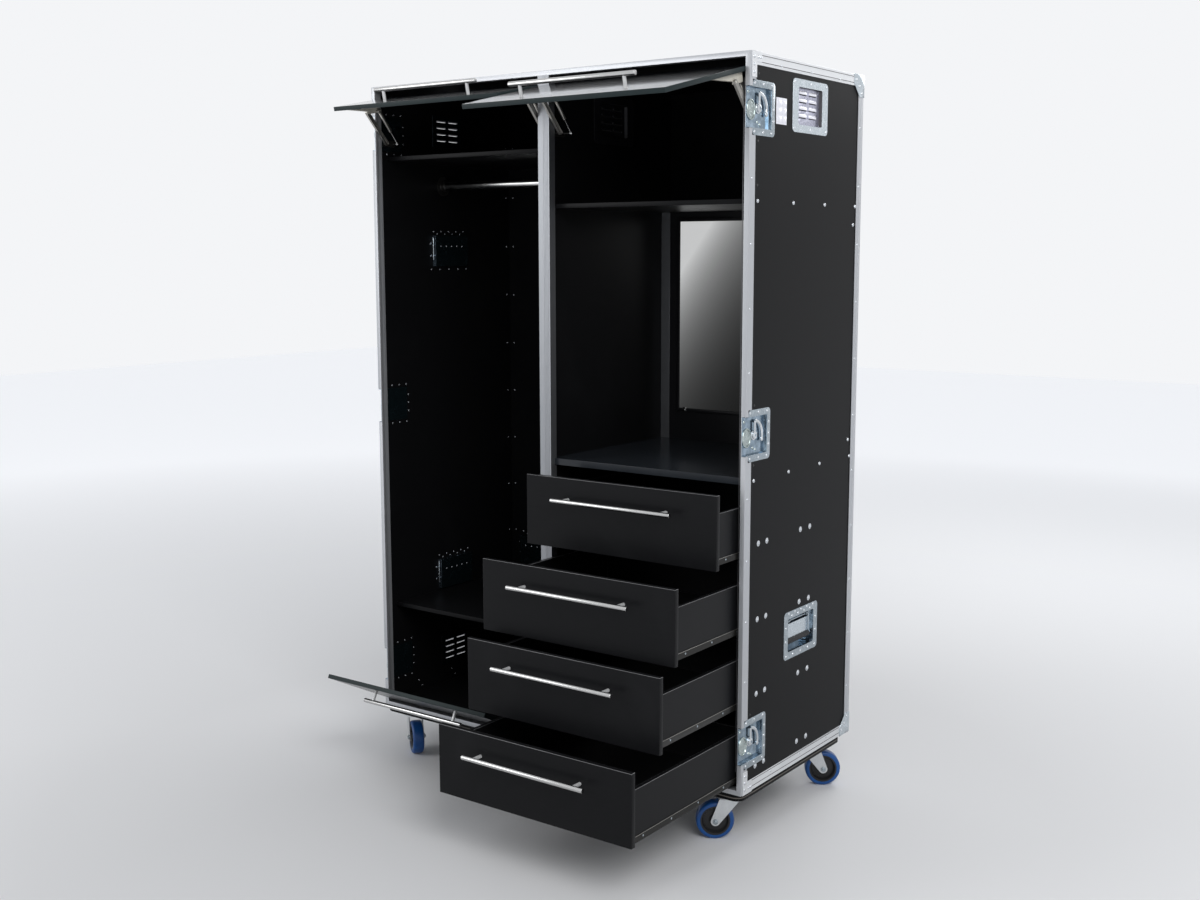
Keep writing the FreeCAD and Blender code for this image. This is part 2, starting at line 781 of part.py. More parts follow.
def pan(body, name, plane, side, flange, recess, face, u, v):
    """One dish: a flange on a panel's face and a pan behind it; flange and recess are their sizes."""
    sheet_out = face + s.dish_sheet
    length, height = flange
    long, tall, deep = recess
    near, far = across(side, face, sheet_out)
    add(body, f"{name}_flange", plane, near, far, lambda k: rounded(
        k, u - length / 2, v - height / 2, u + length / 2, v + height / 2, s.dish_corner))
    near, far = across(side, face - deep, face)
    add(body, f"{name}_pan", plane, near, far, lambda k: rectangle(
        k, u - long / 2, v - tall / 2, u + long / 2, v + tall / 2))
    near, far = across(side, face - deep + s.dish_sheet, sheet_out)
    cut(body, f"{name}_recess", plane, near, far, lambda k: rounded(
        k, u - long / 2 + s.dish_sheet, v - tall / 2 + s.dish_sheet,
        u + long / 2 - s.dish_sheet, v + tall / 2 - s.dish_sheet, s.dish_corner / 2))


grip_places = [
    ("right", "YZ", 1, s.fitting_line, floor + s.handle_low),
    ("left_lower", "YZ", -1, s.fitting_line, floor + s.handle_low),
    ("left_upper", "YZ", -1, s.fitting_line, floor + handle_high),
    ("back", "XZ", 1, back_handle_x, floor + s.back_handle_height),
]


def handle_dishes():
    """Four handle pans; the grip's pins turn in holes in their end walls."""
    body = new_body("handle_dishes")
    for name, plane, side, u, v in grip_places:
        face = wall_out if plane == "YZ" else back_out
        pan(body, name, plane, side, (s.handle_flange_length, s.handle_flange_height),
            (s.handle_pan_length, s.handle_pan_height, s.handle_pan_depth), face, u, v)
        pin = s.grip_pin_radius + s.pin_clearance
        height = v + s.handle_pan_height / 2 - s.grip_pin_below_top
        depth = face - s.grip_pin_depth
        reach = s.handle_pan_length / 2 + 1
        if plane == "YZ":
            cut(body, f"{name}_pin_holes", "XZ", u - reach, u + reach,
                lambda k: circle(k, side * depth, height, pin))
        else:
            cut(body, f"{name}_pin_holes", "YZ", u - reach, u + reach,
                lambda k: circle(k, depth, height, pin))
    keep(body)


def vent_dishes():
    """Four vent pans with two rows of louvres each: slots under raised lips."""
    body = new_body("vent_dishes")
    places = [("right", 1, wall_out, vent_high), ("left_upper", -1, wall_out, vent_high),
              ("left_lower", -1, wall_out, s.vent_low), ("divider", 1, divider_right, vent_high)]
    for name, side, face, height in places:
        middle = floor + height
        pan(body, name, "YZ", side, (s.vent_flange_length, s.vent_flange_height),
            (s.vent_pan_length, s.vent_pan_height, s.vent_pan_depth), face, s.fitting_line, middle)
        bottom = face - s.vent_pan_depth

        def slots(k, lip=0, tall=s.louvre_height):
            for column in (-1, 1):
                centre = s.fitting_line + column * s.vent_pan_length / 5
                for line in range(4):
                    low = middle + (line - 1.5) * s.louvre_pitch + lip
                    rectangle(k, centre - s.louvre_length / 2, low, centre + s.louvre_length / 2, low + tall)

        near, far = across(side, bottom, bottom + s.dish_sheet)
        cut(body, f"{name}_slots", "YZ", near, far, slots)
        near, far = across(side, bottom + s.dish_sheet / 2, bottom + s.dish_sheet + s.louvre_rise)
        add(body, f"{name}_lips", "YZ", near, far, lambda k: slots(k, s.louvre_height, s.louvre_lip))
    keep(body)


def latch_levers():
    """Six butterfly latches: a disc that turns on the dish's spindle, with a bow-shaped lever and a knob."""
    disc_top = s.latch_lift + s.latch_disc_thickness
    lever_top = disc_top + s.latch_lever_thickness
    radius = s.latch_lever_radius
    half = s.latch_lever_width / 2
    tip = (radius * cosine(s.latch_lever_dip), -radius * sine(s.latch_lever_dip))
    far_out = radius * 2

    def all_but_bow(k):
        """What is cut from a whole ring, so that it runs from above the spindle to the knob."""
        polygon(k, [(0, 0), (tip[0] * 2, tip[1] * 2), (far_out, -far_out),
                    (-far_out, -far_out), (-far_out, far_out), (0, far_out)])

    for side, side_name in ((1, "right"), (-1, "left")):
        for number, height in enumerate(latch_heights, start=1):
            body = new_body(f"latch_{side_name}_{number}")
            disc = across(side, s.latch_lift, disc_top)
            lever = across(side, disc_top, lever_top)
            knob = across(side, disc_top, disc_top + s.latch_knob_height)
            add(body, "disc", "YZ", *disc, lambda k: circle(k, 0, 0, s.latch_disc_radius))
            add(body, "ring", "YZ", *lever, lambda k: [
                circle(k, 0, 0, radius + half), circle(k, 0, 0, radius - half)])
            cut(body, "bow", "YZ", *lever, all_but_bow)
            add(body, "spoke", "YZ", *lever, lambda k: rectangle(k, -half, 0, half, radius))
            add(body, "boss", "YZ", *lever, lambda k: circle(k, 0, 0, s.latch_boss_radius))
            add(body, "knob", "YZ", *knob, lambda k: circle(k, *tip, s.latch_knob_radius))
            bore = s.latch_spindle_radius + s.pin_clearance
            cut(body, "bore", "YZ", *across(side, 0, lever_top + 1), lambda k: circle(k, 0, 0, bore))
            keep(body, (side * (wall_in + s.dish_sheet), s.latch_wing_line, floor + height))


def grips():
    """Four sprung handles: a rubber bar between two arms that swing out on pins."""
    for name, plane, side, u, v in grip_places:
        body = new_body(f"grip_{name}")
        end = s.handle_pan_length / 2 - s.dish_sheet - s.cut_clearance
        half = s.grip_arm_width / 2
        for arm_side, arm_name in ((1, "first"), (-1, "second")):
            near, far = across(arm_side, end - s.grip_arm_thickness, end)
            add(body, f"{arm_name}_arm", "YZ", near, far, lambda k: slot(k, 0, -s.grip_drop, 0, half))
            near, far = across(arm_side, end, (s.handle_pan_length + s.cut_clearance) / 2)
            add(body, f"{arm_name}_pin", "YZ", near, far, lambda k: circle(k, 0, 0, s.grip_pin_radius))
        near = end - s.grip_arm_thickness
        add(body, "bar", "YZ", -near, near, lambda k: circle(k, 0, -s.grip_drop, s.grip_radius))
        height = v + s.handle_pan_height / 2 - s.grip_pin_below_top
        if plane == "YZ":
            keep(body, (side * (wall_out - s.grip_pin_depth), u, height), (Vector(0, 0, 1), as_size(90)))
        else:
            keep(body, (u, back_out - s.grip_pin_depth, height))


# Drawers ------------------------------------------------------------------------------------

drawer_left = divider_right + s.drawer_side_gap
drawer_right = wall_in - s.drawer_side_gap
drawer_bays = []
for drawer_index in range(4):
    front_top = floor + s.drawer_first_top - s.drawer_pitch * drawer_index
    last = drawer_index == 3
    front_low = front_top - (s.drawer_last_front_height if last else s.drawer_front_height)
    box_low = front_top - s.drawer_box_drop - s.drawer_box_height
    drawer_bays.append((drawer_index + 1, front_top, front_low, box_low, drawer_opens[drawer_index]))


def bar_handle(body, centre, height, face):
    """A round bar on two posts, standing out in front of a face."""
    line = face - s.bar_standoff
    radius = s.bar_diameter / 2
    add(body, "bar", "YZ", centre - s.bar_length / 2, centre + s.bar_length / 2,
        lambda k: circle(k, line, height, radius))
    for side, name in ((-1, "left"), (1, "right")):
        post = centre + side * s.bar_post_spacing / 2
        add(body, f"{name}_post", "XZ", line, face,
            lambda k: circle(k, post, height, s.bar_post_diameter / 2))


def drawers():
    """Four drawers: a box, a front board, and the steel handle and runner strips."""
    centre = (post_right + opening) / 2
    back_of_front = s.drawer_face_inset + s.drawer_front_thickness
    end = back_of_front + s.drawer_box_length
    for number, top, low, box_low, travel in drawer_bays:
        board = s.drawer_board
        body = new_body(f"drawer_{number}_tray")
        inside = (drawer_left + board, back_of_front + board, drawer_right - board, end - board)
        add(body, "walls", "XY", box_low, box_low + s.drawer_box_height, lambda k: ring(
            k, (drawer_left, back_of_front, drawer_right, end), inside))
        rabbet = board / 2
        under = box_low + s.drawer_bottom_rise
        add(body, "bottom", "XY", under, under + s.drawer_bottom_thickness, lambda k: rectangle(
            k, drawer_left + rabbet, back_of_front + rabbet, drawer_right - rabbet, end - rabbet))
        face = new_body(f"drawer_{number}_front")
        add(face, "front", "XZ", s.drawer_face_inset, back_of_front, lambda k: rectangle(
            k, post_right + s.drawer_front_gap, low, opening - s.drawer_front_gap, top))
        keep(group(f"drawer_{number}_box", [body, face]), (0, -travel, 0))

        body = new_body(f"drawer_{number}_fittings")
        bar_handle(body, centre, top - s.bar_edge_distance, s.drawer_face_inset)
        thin = s.runner_wall
        ledge = box_low + s.runner_strip_height
        line = box_low + s.runner_strip_height / 2
        rear = end - s.roller_radius * 2
        for side, name, edge in ((-1, "left", drawer_left), (1, "right", drawer_right)):
            out = edge + side * thin
            lip = edge - side * board
            add(body, f"{name}_strip", "XZ", back_of_front, end, lambda k: polygon(k, [
                (lip, box_low - thin), (out, box_low - thin), (out, ledge), (edge, ledge),
                (edge, box_low), (lip, box_low)]))
            add(body, f"{name}_roller", "YZ", *across_from(side, out, out + side * s.roller_width),
                lambda k: circle(k, rear, line, s.roller_radius))
        keep(body, (0, -travel, 0))


def wall_fittings():
    """What is screwed to the walls: a channel runner on each side of a drawer, and stay plates."""
    body = new_body("wall_fittings")
    thin = s.runner_wall
    centre = s.runner_start + s.roller_radius * 2
    for number, top, low, box_low, travel in drawer_bays:
        line = box_low + s.runner_strip_height / 2
        above = line + s.roller_radius + s.layer_gap
        below = line - s.roller_radius - s.layer_gap
        under = box_low - thin - s.layer_gap - s.roller_radius
        for side, name, wall in ((1, "left", divider_right), (-1, "right", wall_in)):
            reach = wall + side * (s.drawer_side_gap - thin * 2)
            inner = wall + side * thin
            add(body, f"runner_{number}_{name}", "XZ", s.runner_start, s.runner_start + s.runner_length,
                lambda k: polygon(k, [
                    (wall, below - thin), (reach, below - thin), (reach, below), (inner, below),
                    (inner, above), (reach, above), (reach, above + thin), (wall, above + thin)]))
            add(body, f"bracket_{number}_{name}", "YZ", *across_from(side, wall, inner),
                lambda k: rectangle(k, centre - s.roller_radius * 2, under - s.roller_radius,
                                    centre + s.roller_radius * 2, line))
            end = wall + side * (s.drawer_side_gap + s.roller_width)
            add(body, f"roller_{number}_{name}", "YZ", *across_from(side, inner, end),
                lambda k: circle(k, centre, under, s.roller_radius))
    for name, side, wall, flap in stay_walls():
        stay_plate(body, name, side, wall, flap)
    keep(body)


# Flaps and stays ----------------------------------------------------------------------------

left_bay = (-opening, post_left)
right_bay = (post_right, opening)
lift_flaps = [
    ("left", left_bay, s.left_flap_length, s.left_flap_open),
    ("right", right_bay, s.right_flap_length, s.right_flap_open),
]
arm_layer = s.arm_inset + s.arm_depth
lug_layer = arm_layer + s.layer_gap
strut_layer = lug_layer + s.lug_thickness + s.layer_gap + s.strut_eye_radius
stay_depth = s.flap_thickness - (s.flap_pin_setback - s.flap_face_inset) + s.stay_standoff


def half_span(bay):
    return (bay[1] - bay[0]) / 2 - s.flap_side_gap


def bay_centre(bay):
    return (bay[0] + bay[1]) / 2


def turned(depth, height, angle):
    """A place in a lifting flap, counted from its pin when shut, after the flap is opened."""
    return (depth * cosine(angle) + height * sine(angle), height * cosine(angle) - depth * sine(angle))


def stay_walls():
    """The four walls that carry stays: name, side that faces the bay, place, and flap."""
    walls = []
    for flap in lift_flaps:
        walls.append((f"stay_{flap[0]}_a", 1, -wall_in if flap[0] == "left" else divider_right, flap))
        walls.append((f"stay_{flap[0]}_b", -1, divider_left if flap[0] == "left" else wall_in, flap))
    return walls


def stay_feet(angle):
    """Where the arm and the strut meet the wall, from the pin of the open flap."""
    arm_head = turned(stay_depth, -s.stay_arm_reach, angle)
    strut_head = turned(stay_depth, -s.stay_strut_reach, angle)
    feet = []
    for head, length, lean in (
            (arm_head, s.arm_length, s.arm_lean), (strut_head, s.strut_length, s.strut_lean)):
        feet.append((head[0] + length * sine(lean), head[1] - length * cosine(lean)))
    return feet


def stay_plate(body, name, side, wall, flap):
    """A plate on a wall with two studs, one that ends at the arm and one at the strut."""
    label, bay, length, angle = flap
    end = bay_centre(bay) - side * half_span(bay)
    arm_foot, strut_foot = stay_feet(angle)
    y = s.flap_pin_setback
    z = lift_pin_height
    margin = s.wall_plate_margin
    surface = wall + side * s.wall_plate_thickness

    low = z + strut_foot[1] - margin
    high = z + arm_foot[1] + margin
    near, far = across_from(side, wall, surface)
    add(body, f"{name}_plate", "YZ", near, far, lambda k: rounded(
        k, y + arm_foot[0] - margin, low, y + strut_foot[0] + margin, high, margin / 2))
    near, far = across_from(side, surface, end + side * (s.arm_inset - s.layer_gap))
    add(body, f"{name}_arm_stud", "YZ", near, far, lambda k: circle(
        k, y + arm_foot[0], z + arm_foot[1], s.stay_stud_radius * 1.5))
    near, far = across_from(side, surface, end + side * (strut_layer - s.strut_eye_radius - s.layer_gap))
    add(body, f"{name}_strut_stud", "YZ", near, far, lambda k: circle(
        k, y + strut_foot[0], z + strut_foot[1], s.stay_stud_radius))


def lifting_flap(name, bay, length, angle):
    """A flap on two pins; its fittings are the bar handle, the pins and a bracket at each end."""
    half = half_span(bay)
    outer = s.flap_face_inset - s.flap_pin_setback
    inner = outer + s.flap_thickness
    top = s.lift_pin_drop - s.lift_top_gap
    place = ((bay_centre(bay), s.flap_pin_setback, lift_pin_height), (Vector(1, 0, 0), -angle))
    body = new_body(f"lift_flap_{name}")
    add(body, "board", "XZ", outer, inner, lambda k: rectangle(k, -half, -length, half, top))
    keep(body, *place)

    body = new_body(f"lift_flap_{name}_fittings")
    bar_handle(body, as_size(0), -length + s.bar_edge_distance, outer)
    for side, side_name in ((1, "right"), (-1, "left")):
        near, far = across(side, half, half + s.flap_side_gap + s.flap_pin_length)
        add(body, f"{side_name}_pin", "YZ", near, far, lambda k: circle(k, 0, 0, s.flap_pin_radius))
        lug_out = half - lug_layer
        lug_in = lug_out - s.lug_thickness
        near, far = across(side, lug_in, lug_out)
        arm_head = -s.stay_arm_reach
        strut_head = -s.stay_strut_reach
        margin = s.stay_stud_radius * 2
        add(body, f"{side_name}_lug", "YZ", near, far, lambda k: polygon(k, [
            (inner, strut_head + margin), (stay_depth + margin, strut_head + margin),
            (stay_depth + margin, arm_head - margin), (inner, arm_head - margin)]))
        near, far = across(side, lug_out, half - s.arm_inset)
        add(body, f"{side_name}_arm_pin", "YZ", near, far,
            lambda k: circle(k, stay_depth, arm_head, s.stay_stud_radius))
        near, far = across(side, half - strut_layer - s.strut_eye_radius, lug_in)
        add(body, f"{side_name}_strut_pin", "YZ", near, far,
            lambda k: circle(k, stay_depth, strut_head, s.stay_stud_radius))
        near, far = across(side, lug_in - s.wedge_width + s.lug_thickness, lug_out)
        foot = arm_head - margin - s.wedge_length
        add(body, f"{side_name}_wedge", "YZ", near, far, lambda k: polygon(k, [
            (inner, arm_head - margin), (inner + s.wedge_height, arm_head - margin),
            (inner + s.lug_thickness, foot), (inner, foot)]))
    keep(body, *place)


def stays(name, bay, angle):
    """The two members at each end of a lifting flap: a slotted channel arm, and a gas strut."""
    half = half_span(bay)
    centre = bay_centre(bay)
    bore = s.stay_stud_radius + s.pin_clearance
    arm_head = turned(stay_depth, -s.stay_arm_reach, angle)
    strut_head = turned(stay_depth, -s.stay_strut_reach, angle)
    around = s.arm_width / 2
    body = new_body(f"stay_arms_{name}")
    for side, side_name in ((1, "right"), (-1, "left")):
        outside = half - s.arm_inset
        near, far = across(side, outside - s.arm_depth, outside)
        add(body, f"{side_name}_channel", "YZ", near, far, lambda k: slot(k, 0, -s.arm_length, 0, around))
        near, far = across(side, outside - s.arm_depth - 1, outside - s.arm_wall)
        cut(body, f"{side_name}_hollow", "YZ", near, far, lambda k: slot(
            k, 0, -s.arm_length, -around * 2, around - s.arm_wall))
        near, far = across(side, outside - s.arm_depth, outside + 1)
        cut(body, f"{side_name}_slot", "YZ", near, far, lambda k: slot(
            k, 0, -s.arm_length, -s.arm_length + s.arm_slot_length, s.stay_stud_radius))
        cut(body, f"{side_name}_eye", "YZ", near, far, lambda k: circle(k, 0, 0, bore))
    keep(body, (centre, s.flap_pin_setback + arm_head[0], lift_pin_height + arm_head[1]),
         (Vector(1, 0, 0), s.arm_lean))

    place = ((centre, s.flap_pin_setback + strut_head[0], lift_pin_height + strut_head[1]),
             (Vector(1, 0, 0), s.strut_lean))
    reach = s.strut_cylinder_length
    body = new_body(f"strut_cylinders_{name}")
    for side, side_name in ((1, "right"), (-1, "left")):
        line = side * (half - strut_layer)
        eye = s.strut_eye_radius
        add(body, f"{side_name}_eye", "YZ", line - eye + s.layer_gap, line + eye - s.layer_gap,
            lambda k: circle(k, 0, 0, eye + 1))
        add(body, f"{side_name}_cylinder", "XY", -reach, -eye,
            lambda k: circle(k, line, 0, s.strut_cylinder_radius))
        cut(body, f"{side_name}_bore", "XY", -reach, -eye * 2,
            lambda k: circle(k, line, 0, s.strut_rod_radius + s.strut_rod_clearance))
        cut(body, f"{side_name}_pin_bore", "YZ", line - eye - 1, line + eye + 1,
            lambda k: circle(k, 0, 0, bore))
    keep(body, *place)

    body = new_body(f"strut_rods_{name}")
    for side, side_name in ((1, "right"), (-1, "left")):
        line = side * (half - strut_layer)
        add(body, f"{side_name}_rod", "XY", -s.strut_length, -reach / 2,
            lambda k: circle(k, line, 0, s.strut_rod_radius))
        add(body, f"{side_name}_socket", "YZ", line - s.strut_eye_radius, line + s.strut_eye_radius,
            lambda k: circle(k, 0, -s.strut_length, s.strut_eye_radius))
    keep(body, *place)


def drop_flap():
    """The flap that lies down in front of the lowest bay at the left, on two pins."""
    half = half_span(left_bay)
    outer = s.flap_face_inset - s.flap_pin_setback
    place = ((bay_centre(left_bay), s.flap_pin_setback, drop_pin_height), (Vector(1, 0, 0), s.drop_flap_open))
    body = new_body("drop_flap")
    low = s.drop_edge_gap - s.drop_pin_rise
    add(body, "board", "XZ", outer, outer + s.flap_thickness, lambda k: rectangle(
        k, -half, low, half, s.drop_flap_length))
    keep(body, *place)

    body = new_body("drop_flap_fittings")
    bar_handle(body, as_size(0), s.drop_flap_length - s.bar_edge_distance, outer)
    for side, side_name in ((1, "right"), (-1, "left")):
        near, far = across(side, half, half + s.flap_side_gap + s.flap_pin_length)
        add(body, f"{side_name}_pin", "YZ", near, far, lambda k: circle(k, 0, 0, s.flap_pin_radius))
    keep(body, *place)


# Corner fittings ----------------------------------------------------------------------------

def block(label, low, high):
    """A box between two corners, bound to the sizes."""
    item = doc.addObject("Part::Box", label)
    for axis, size, start, end in zip("xyz", ("Length", "Width", "Height"), low, high):
        bind(item, size, as_size(end) - start)
        bind(item, f"Placement.Base.{axis}", start)
    return item


def ball(label, centre, radius):
    item = doc.addObject("Part::Sphere", label)
    bind(item, "Radius", radius)
    for axis, place in zip("xyz", centre):
        bind(item, f"Placement.Base.{axis}", place)
    return item


def combine(kind, label, base, tool):
    item = doc.addObject(kind, label)
    item.Base = base
    item.Tool = tool
    return item


def corner_fittings():
    """Ball corners behind, and folded corner braces in front; each mirrored to four places."""
    out = s.corner_sheet
    reach = s.corner_reach
    inset = s.ball_radius - s.ball_proud
    corner = (half_width, s.case_depth, roof)
    inside = block("case_volume", (-half_width, 0, floor), corner)
    plates = new_body("corner_plates")
    x, y, z = corner
    for name, plane, place, first, second in (
            ("side", "YZ", x, y, z), ("back", "XZ", y, x, z), ("top", "XY", z, x, y)):
        lobe = reach * s.corner_lobe
        add(plates, name, plane, place, place + out, lambda k: polygon(k, [
            (first + out, second + out), (first - reach, second + out), (first - reach, second - lobe),
            (first - lobe, second - reach), (first + out, second - reach)]))
    bulge = ball("corner_bulge", [place - inset for place in corner], s.ball_radius)
    cap = combine("Part::Cut", "corner_cap", bulge, inside)
    back = combine("Part::Fuse", "corner_ball", plates, cap)

    brace_outside = block("brace_outside", (half_width - s.brace_reach, s.brace_start, roof - s.brace_reach),
                          (half_width + out, s.brace_start + s.brace_width, roof + out))
    brace = combine("Part::Cut", "corner_brace", brace_outside, inside)
    pair = doc.addObject("Part::Compound", "corner_pair")
    pair.Links = [back, brace]
    across_x = doc.addObject("Part::Mirroring", "corner_pair_left")
    across_x.Source = pair
    across_x.Normal = Vector(1, 0, 0)
    upper = doc.addObject("Part::Compound", "corners_upper")
    upper.Links = [pair, across_x]
    lower = doc.addObject("Part::Mirroring", "corners_lower")
    lower.Source = upper
    lower.Normal = Vector(0, 0, 1)
    bind(lower, "Base.z", (floor + roof) / 2)
    every = doc.addObject("Part::Compound", "corner_fittings")
    every.Links = [upper, lower]
    keep(every)


# Castors ------------------------------------------------------------------------------------

castor_places = []
castor_back = s.case_depth - s.base_back_inset - s.castor_back_inset
for castor_name, side_x, place_y, heading in (
        ("front_left", -1, s.castor_front_inset, s.castor_heading_front_left),
        ("front_right", 1, s.castor_front_inset, s.castor_heading_front_right),
        ("back_left", -1, castor_back, s.castor_heading_back_left),
        ("back_right", 1, castor_back, s.castor_heading_back_right)):
    castor_places.append((castor_name, side_x * (half_width - s.castor_side_inset), place_y, heading))
race_top = s.castor_height - s.castor_plate_thickness
race_low = race_top - s.castor_race_height
crown_top = race_low - s.layer_gap
axle_height = s.wheel_diameter / 2


def castor_plates():
    """Top plates under the base board, each with a race and a kingpin."""
    body = new_body("castor_plates")
    for name, x, y, heading in castor_places:
        add(body, f"{name}_plate", "XY", race_top, s.castor_height, lambda k: rounded(
            k, x - s.castor_plate_length / 2, y - s.castor_plate_width / 2,
            x + s.castor_plate_length / 2, y + s.castor_plate_width / 2, s.dish_corner / 2))
        add(body, f"{name}_race", "XY", race_low, race_top, lambda k: circle(k, x, y, s.castor_race_radius))
        foot = crown_top - s.castor_crown_thickness - s.castor_fork_wall
        add(body, f"{name}_kingpin", "XY", foot, race_low, lambda k: circle(k, x, y, s.kingpin_radius))
    keep(body)


def castors():
    """Four forks that swivel on their kingpins, and the wheels on their axles."""
    tread = s.wheel_diameter / 2
    for name, x, y, heading in castor_places:
        body = new_body(f"castor_{name}_fork")
        crown = s.castor_race_radius
        low = crown_top - s.castor_crown_thickness
        add(body, "crown", "XY", low, crown_top, lambda k: circle(k, 0, 0, crown))
        inside = s.wheel_width / 2 + s.castor_fork_gap
        for side, side_name in ((1, "right"), (-1, "left")):
            near, far = across(side, inside, inside + s.castor_fork_wall)
            top = s.castor_arm_top
            add(body, f"{side_name}_arm", "XZ", near, far, lambda k: fork_outline(k, top, low))
        add(body, "axle", "XZ", -inside, inside,
            lambda k: circle(k, s.castor_trail, axle_height, s.castor_axle_radius))
        cut(body, "kingpin_bore", "XY", low, crown_top, lambda k: circle(
            k, 0, 0, s.kingpin_radius + s.pin_clearance))
        place = (x, y, 0)
        turn = (Vector(0, 0, 1), heading)
        keep(body, place, turn)

        tyre = new_body(f"castor_{name}_tyre")
        wide = s.wheel_width / 2
        add(tyre, "band", "XZ", -wide, wide, lambda k: [
            circle(k, s.castor_trail, axle_height, tread),
            circle(k, s.castor_trail, axle_height, tread - s.tyre_thickness)])
        body = new_body(f"castor_{name}_hub")
        web = s.wheel_web / 2
        rim = tread - s.tyre_thickness
        add(body, "rim", "XZ", -wide, wide, lambda k: [
            circle(k, s.castor_trail, axle_height, rim),
            circle(k, s.castor_trail, axle_height, rim - s.wheel_rim)])
        add(body, "web", "XZ", -web, web,
            lambda k: circle(k, s.castor_trail, axle_height, rim - s.wheel_rim / 2))
        add(body, "hub", "XZ", -wide, wide, lambda k: circle(k, s.castor_trail, axle_height, s.hub_radius))
        cut(body, "bore", "XZ", -wide, wide, lambda k: circle(
            k, s.castor_trail, axle_height, s.castor_axle_radius + s.pin_clearance))
        keep(group(f"castor_{name}_wheel", [tyre, body]), place, turn)


def fork_outline(sketch, top, high):
    """A fork arm, seen from the side: wide under the crown, round at the axle, with straight flanks."""
    corner = s.castor_arm_corner
    arc_chain(sketch, [
        (corner - top, high - corner, corner, 90, 220),
        (s.castor_trail, axle_height, s.castor_arm_radius, 220, 380),
        (top - corner, high - corner, corner, 20, 90),
    ])


side_panel(1, "side_panel_right", [s.handle_low], [vent_high], [lift_pin_height])
side_panel(-1, "side_panel_left", [s.handle_low, handle_high], [s.vent_low, vent_high],
           [lift_pin_height, drop_pin_height])
plain_panels()
front_profile()
edge_profiles()
divider()
shelves()
counter()
clothes_rail()
mirror()
latch_dishes()
handle_dishes()
vent_dishes()
latch_levers()
grips()
drawers()
wall_fittings()
for flap_name, flap_bay, flap_length, flap_angle in lift_flaps:
    lifting_flap(flap_name, flap_bay, flap_length, flap_angle)
    stays(flap_name, flap_bay, flap_angle)
drop_flap()
corner_fittings()
castor_plates()
castors()

doc.recompute()

failed = [item.Name for item in doc.Objects if "Invalid" in item.State or "Error" in item.State]
if failed:
    raise RuntimeError(f"objects that did not build: {failed}")
for feature in cuts:
    if feature.Shape.Volume >= feature.BaseFeature.Shape.Volume - 1e-6:
        raise RuntimeError(f"{feature.Name} cuts nothing")
for label, item in parts.items():
    if item.Shape.isNull() or not item.Shape.isValid():
        raise RuntimeError(f"{label} is not a valid shape")

os.makedirs("parts", exist_ok=True)
for label, item in parts.items():
    item.Shape.exportStep(os.path.join("parts", f"{label}.step"))
print(f"{len(parts)} parts")
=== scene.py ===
"""Looks of a wardrobe trunk: a road case on castors, with flaps, drawers, a mirror and a clothes rail.

Lengths are given in millimetres, except in the finishes and on the stage, and the functions that
make shapes return meshes in metres. +X is to the right as the open front is faced, +Y goes to the
back and +Z up; the ground is at z = 0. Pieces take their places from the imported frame.
"""

import json
import logging
import math
from dataclasses import dataclass
from enum import Enum
from typing import Callable, Iterable, Sequence

import bmesh
import bpy
from mathutils import Matrix, Vector


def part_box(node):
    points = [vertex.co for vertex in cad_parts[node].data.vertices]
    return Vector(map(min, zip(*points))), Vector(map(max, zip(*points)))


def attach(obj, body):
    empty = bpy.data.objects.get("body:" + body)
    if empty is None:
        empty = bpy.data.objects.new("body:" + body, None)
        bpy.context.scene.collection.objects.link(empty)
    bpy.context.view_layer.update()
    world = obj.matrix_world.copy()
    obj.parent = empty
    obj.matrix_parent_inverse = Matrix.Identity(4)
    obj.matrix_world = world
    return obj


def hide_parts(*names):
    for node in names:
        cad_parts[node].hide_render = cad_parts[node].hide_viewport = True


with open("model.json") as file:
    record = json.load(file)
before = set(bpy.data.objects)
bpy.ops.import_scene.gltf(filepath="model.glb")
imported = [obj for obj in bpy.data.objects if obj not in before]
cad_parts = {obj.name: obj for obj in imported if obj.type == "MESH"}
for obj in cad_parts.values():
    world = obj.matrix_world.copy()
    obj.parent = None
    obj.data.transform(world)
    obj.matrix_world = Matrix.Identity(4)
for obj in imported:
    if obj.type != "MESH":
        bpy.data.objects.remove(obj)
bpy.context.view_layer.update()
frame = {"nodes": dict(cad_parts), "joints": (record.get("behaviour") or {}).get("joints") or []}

LOG = logging.getLogger("wardrobe_trunk")
MM = 0.001
ALONG_X, ALONG_Y, UP, DOWN, FORWARD = (1, 0, 0), (0, 1, 0), (0, 0, 1), (0, 0, -1), (0, -1, 0)
BLACK = (0.0, 0.0, 0.0, 1.0)
ENDS = (-1, 1)
DOUBLES = 1e-5  # Vertices of a node that lie closer than this, in metres, are one
SPECK = 1e-6  # The same for the edges of a shape
BROAD = 8 * MM  # A face with more area than this for each metre of its rim is shaded flat
SCRATCH_SCALE = 9.0

Colour = tuple[float, float, float]
Point = Sequence[float]
Place = tuple[Point, Point]
Mesh = bmesh.types.BMesh
Tree = bpy.types.NodeTree
Socket = bpy.types.NodeSocket
Sockets = bpy.types.bpy_prop_collection
Test = Callable[[Vector, Vector], bool]
Choice = Callable[[Vector], bool] | None


# Measures shared by all classes


def box(node: str) -> list[Vector]:
    """Lowest and highest corner of a node of the frame."""
    return [Vector([value / MM for value in corner]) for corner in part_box(node)]


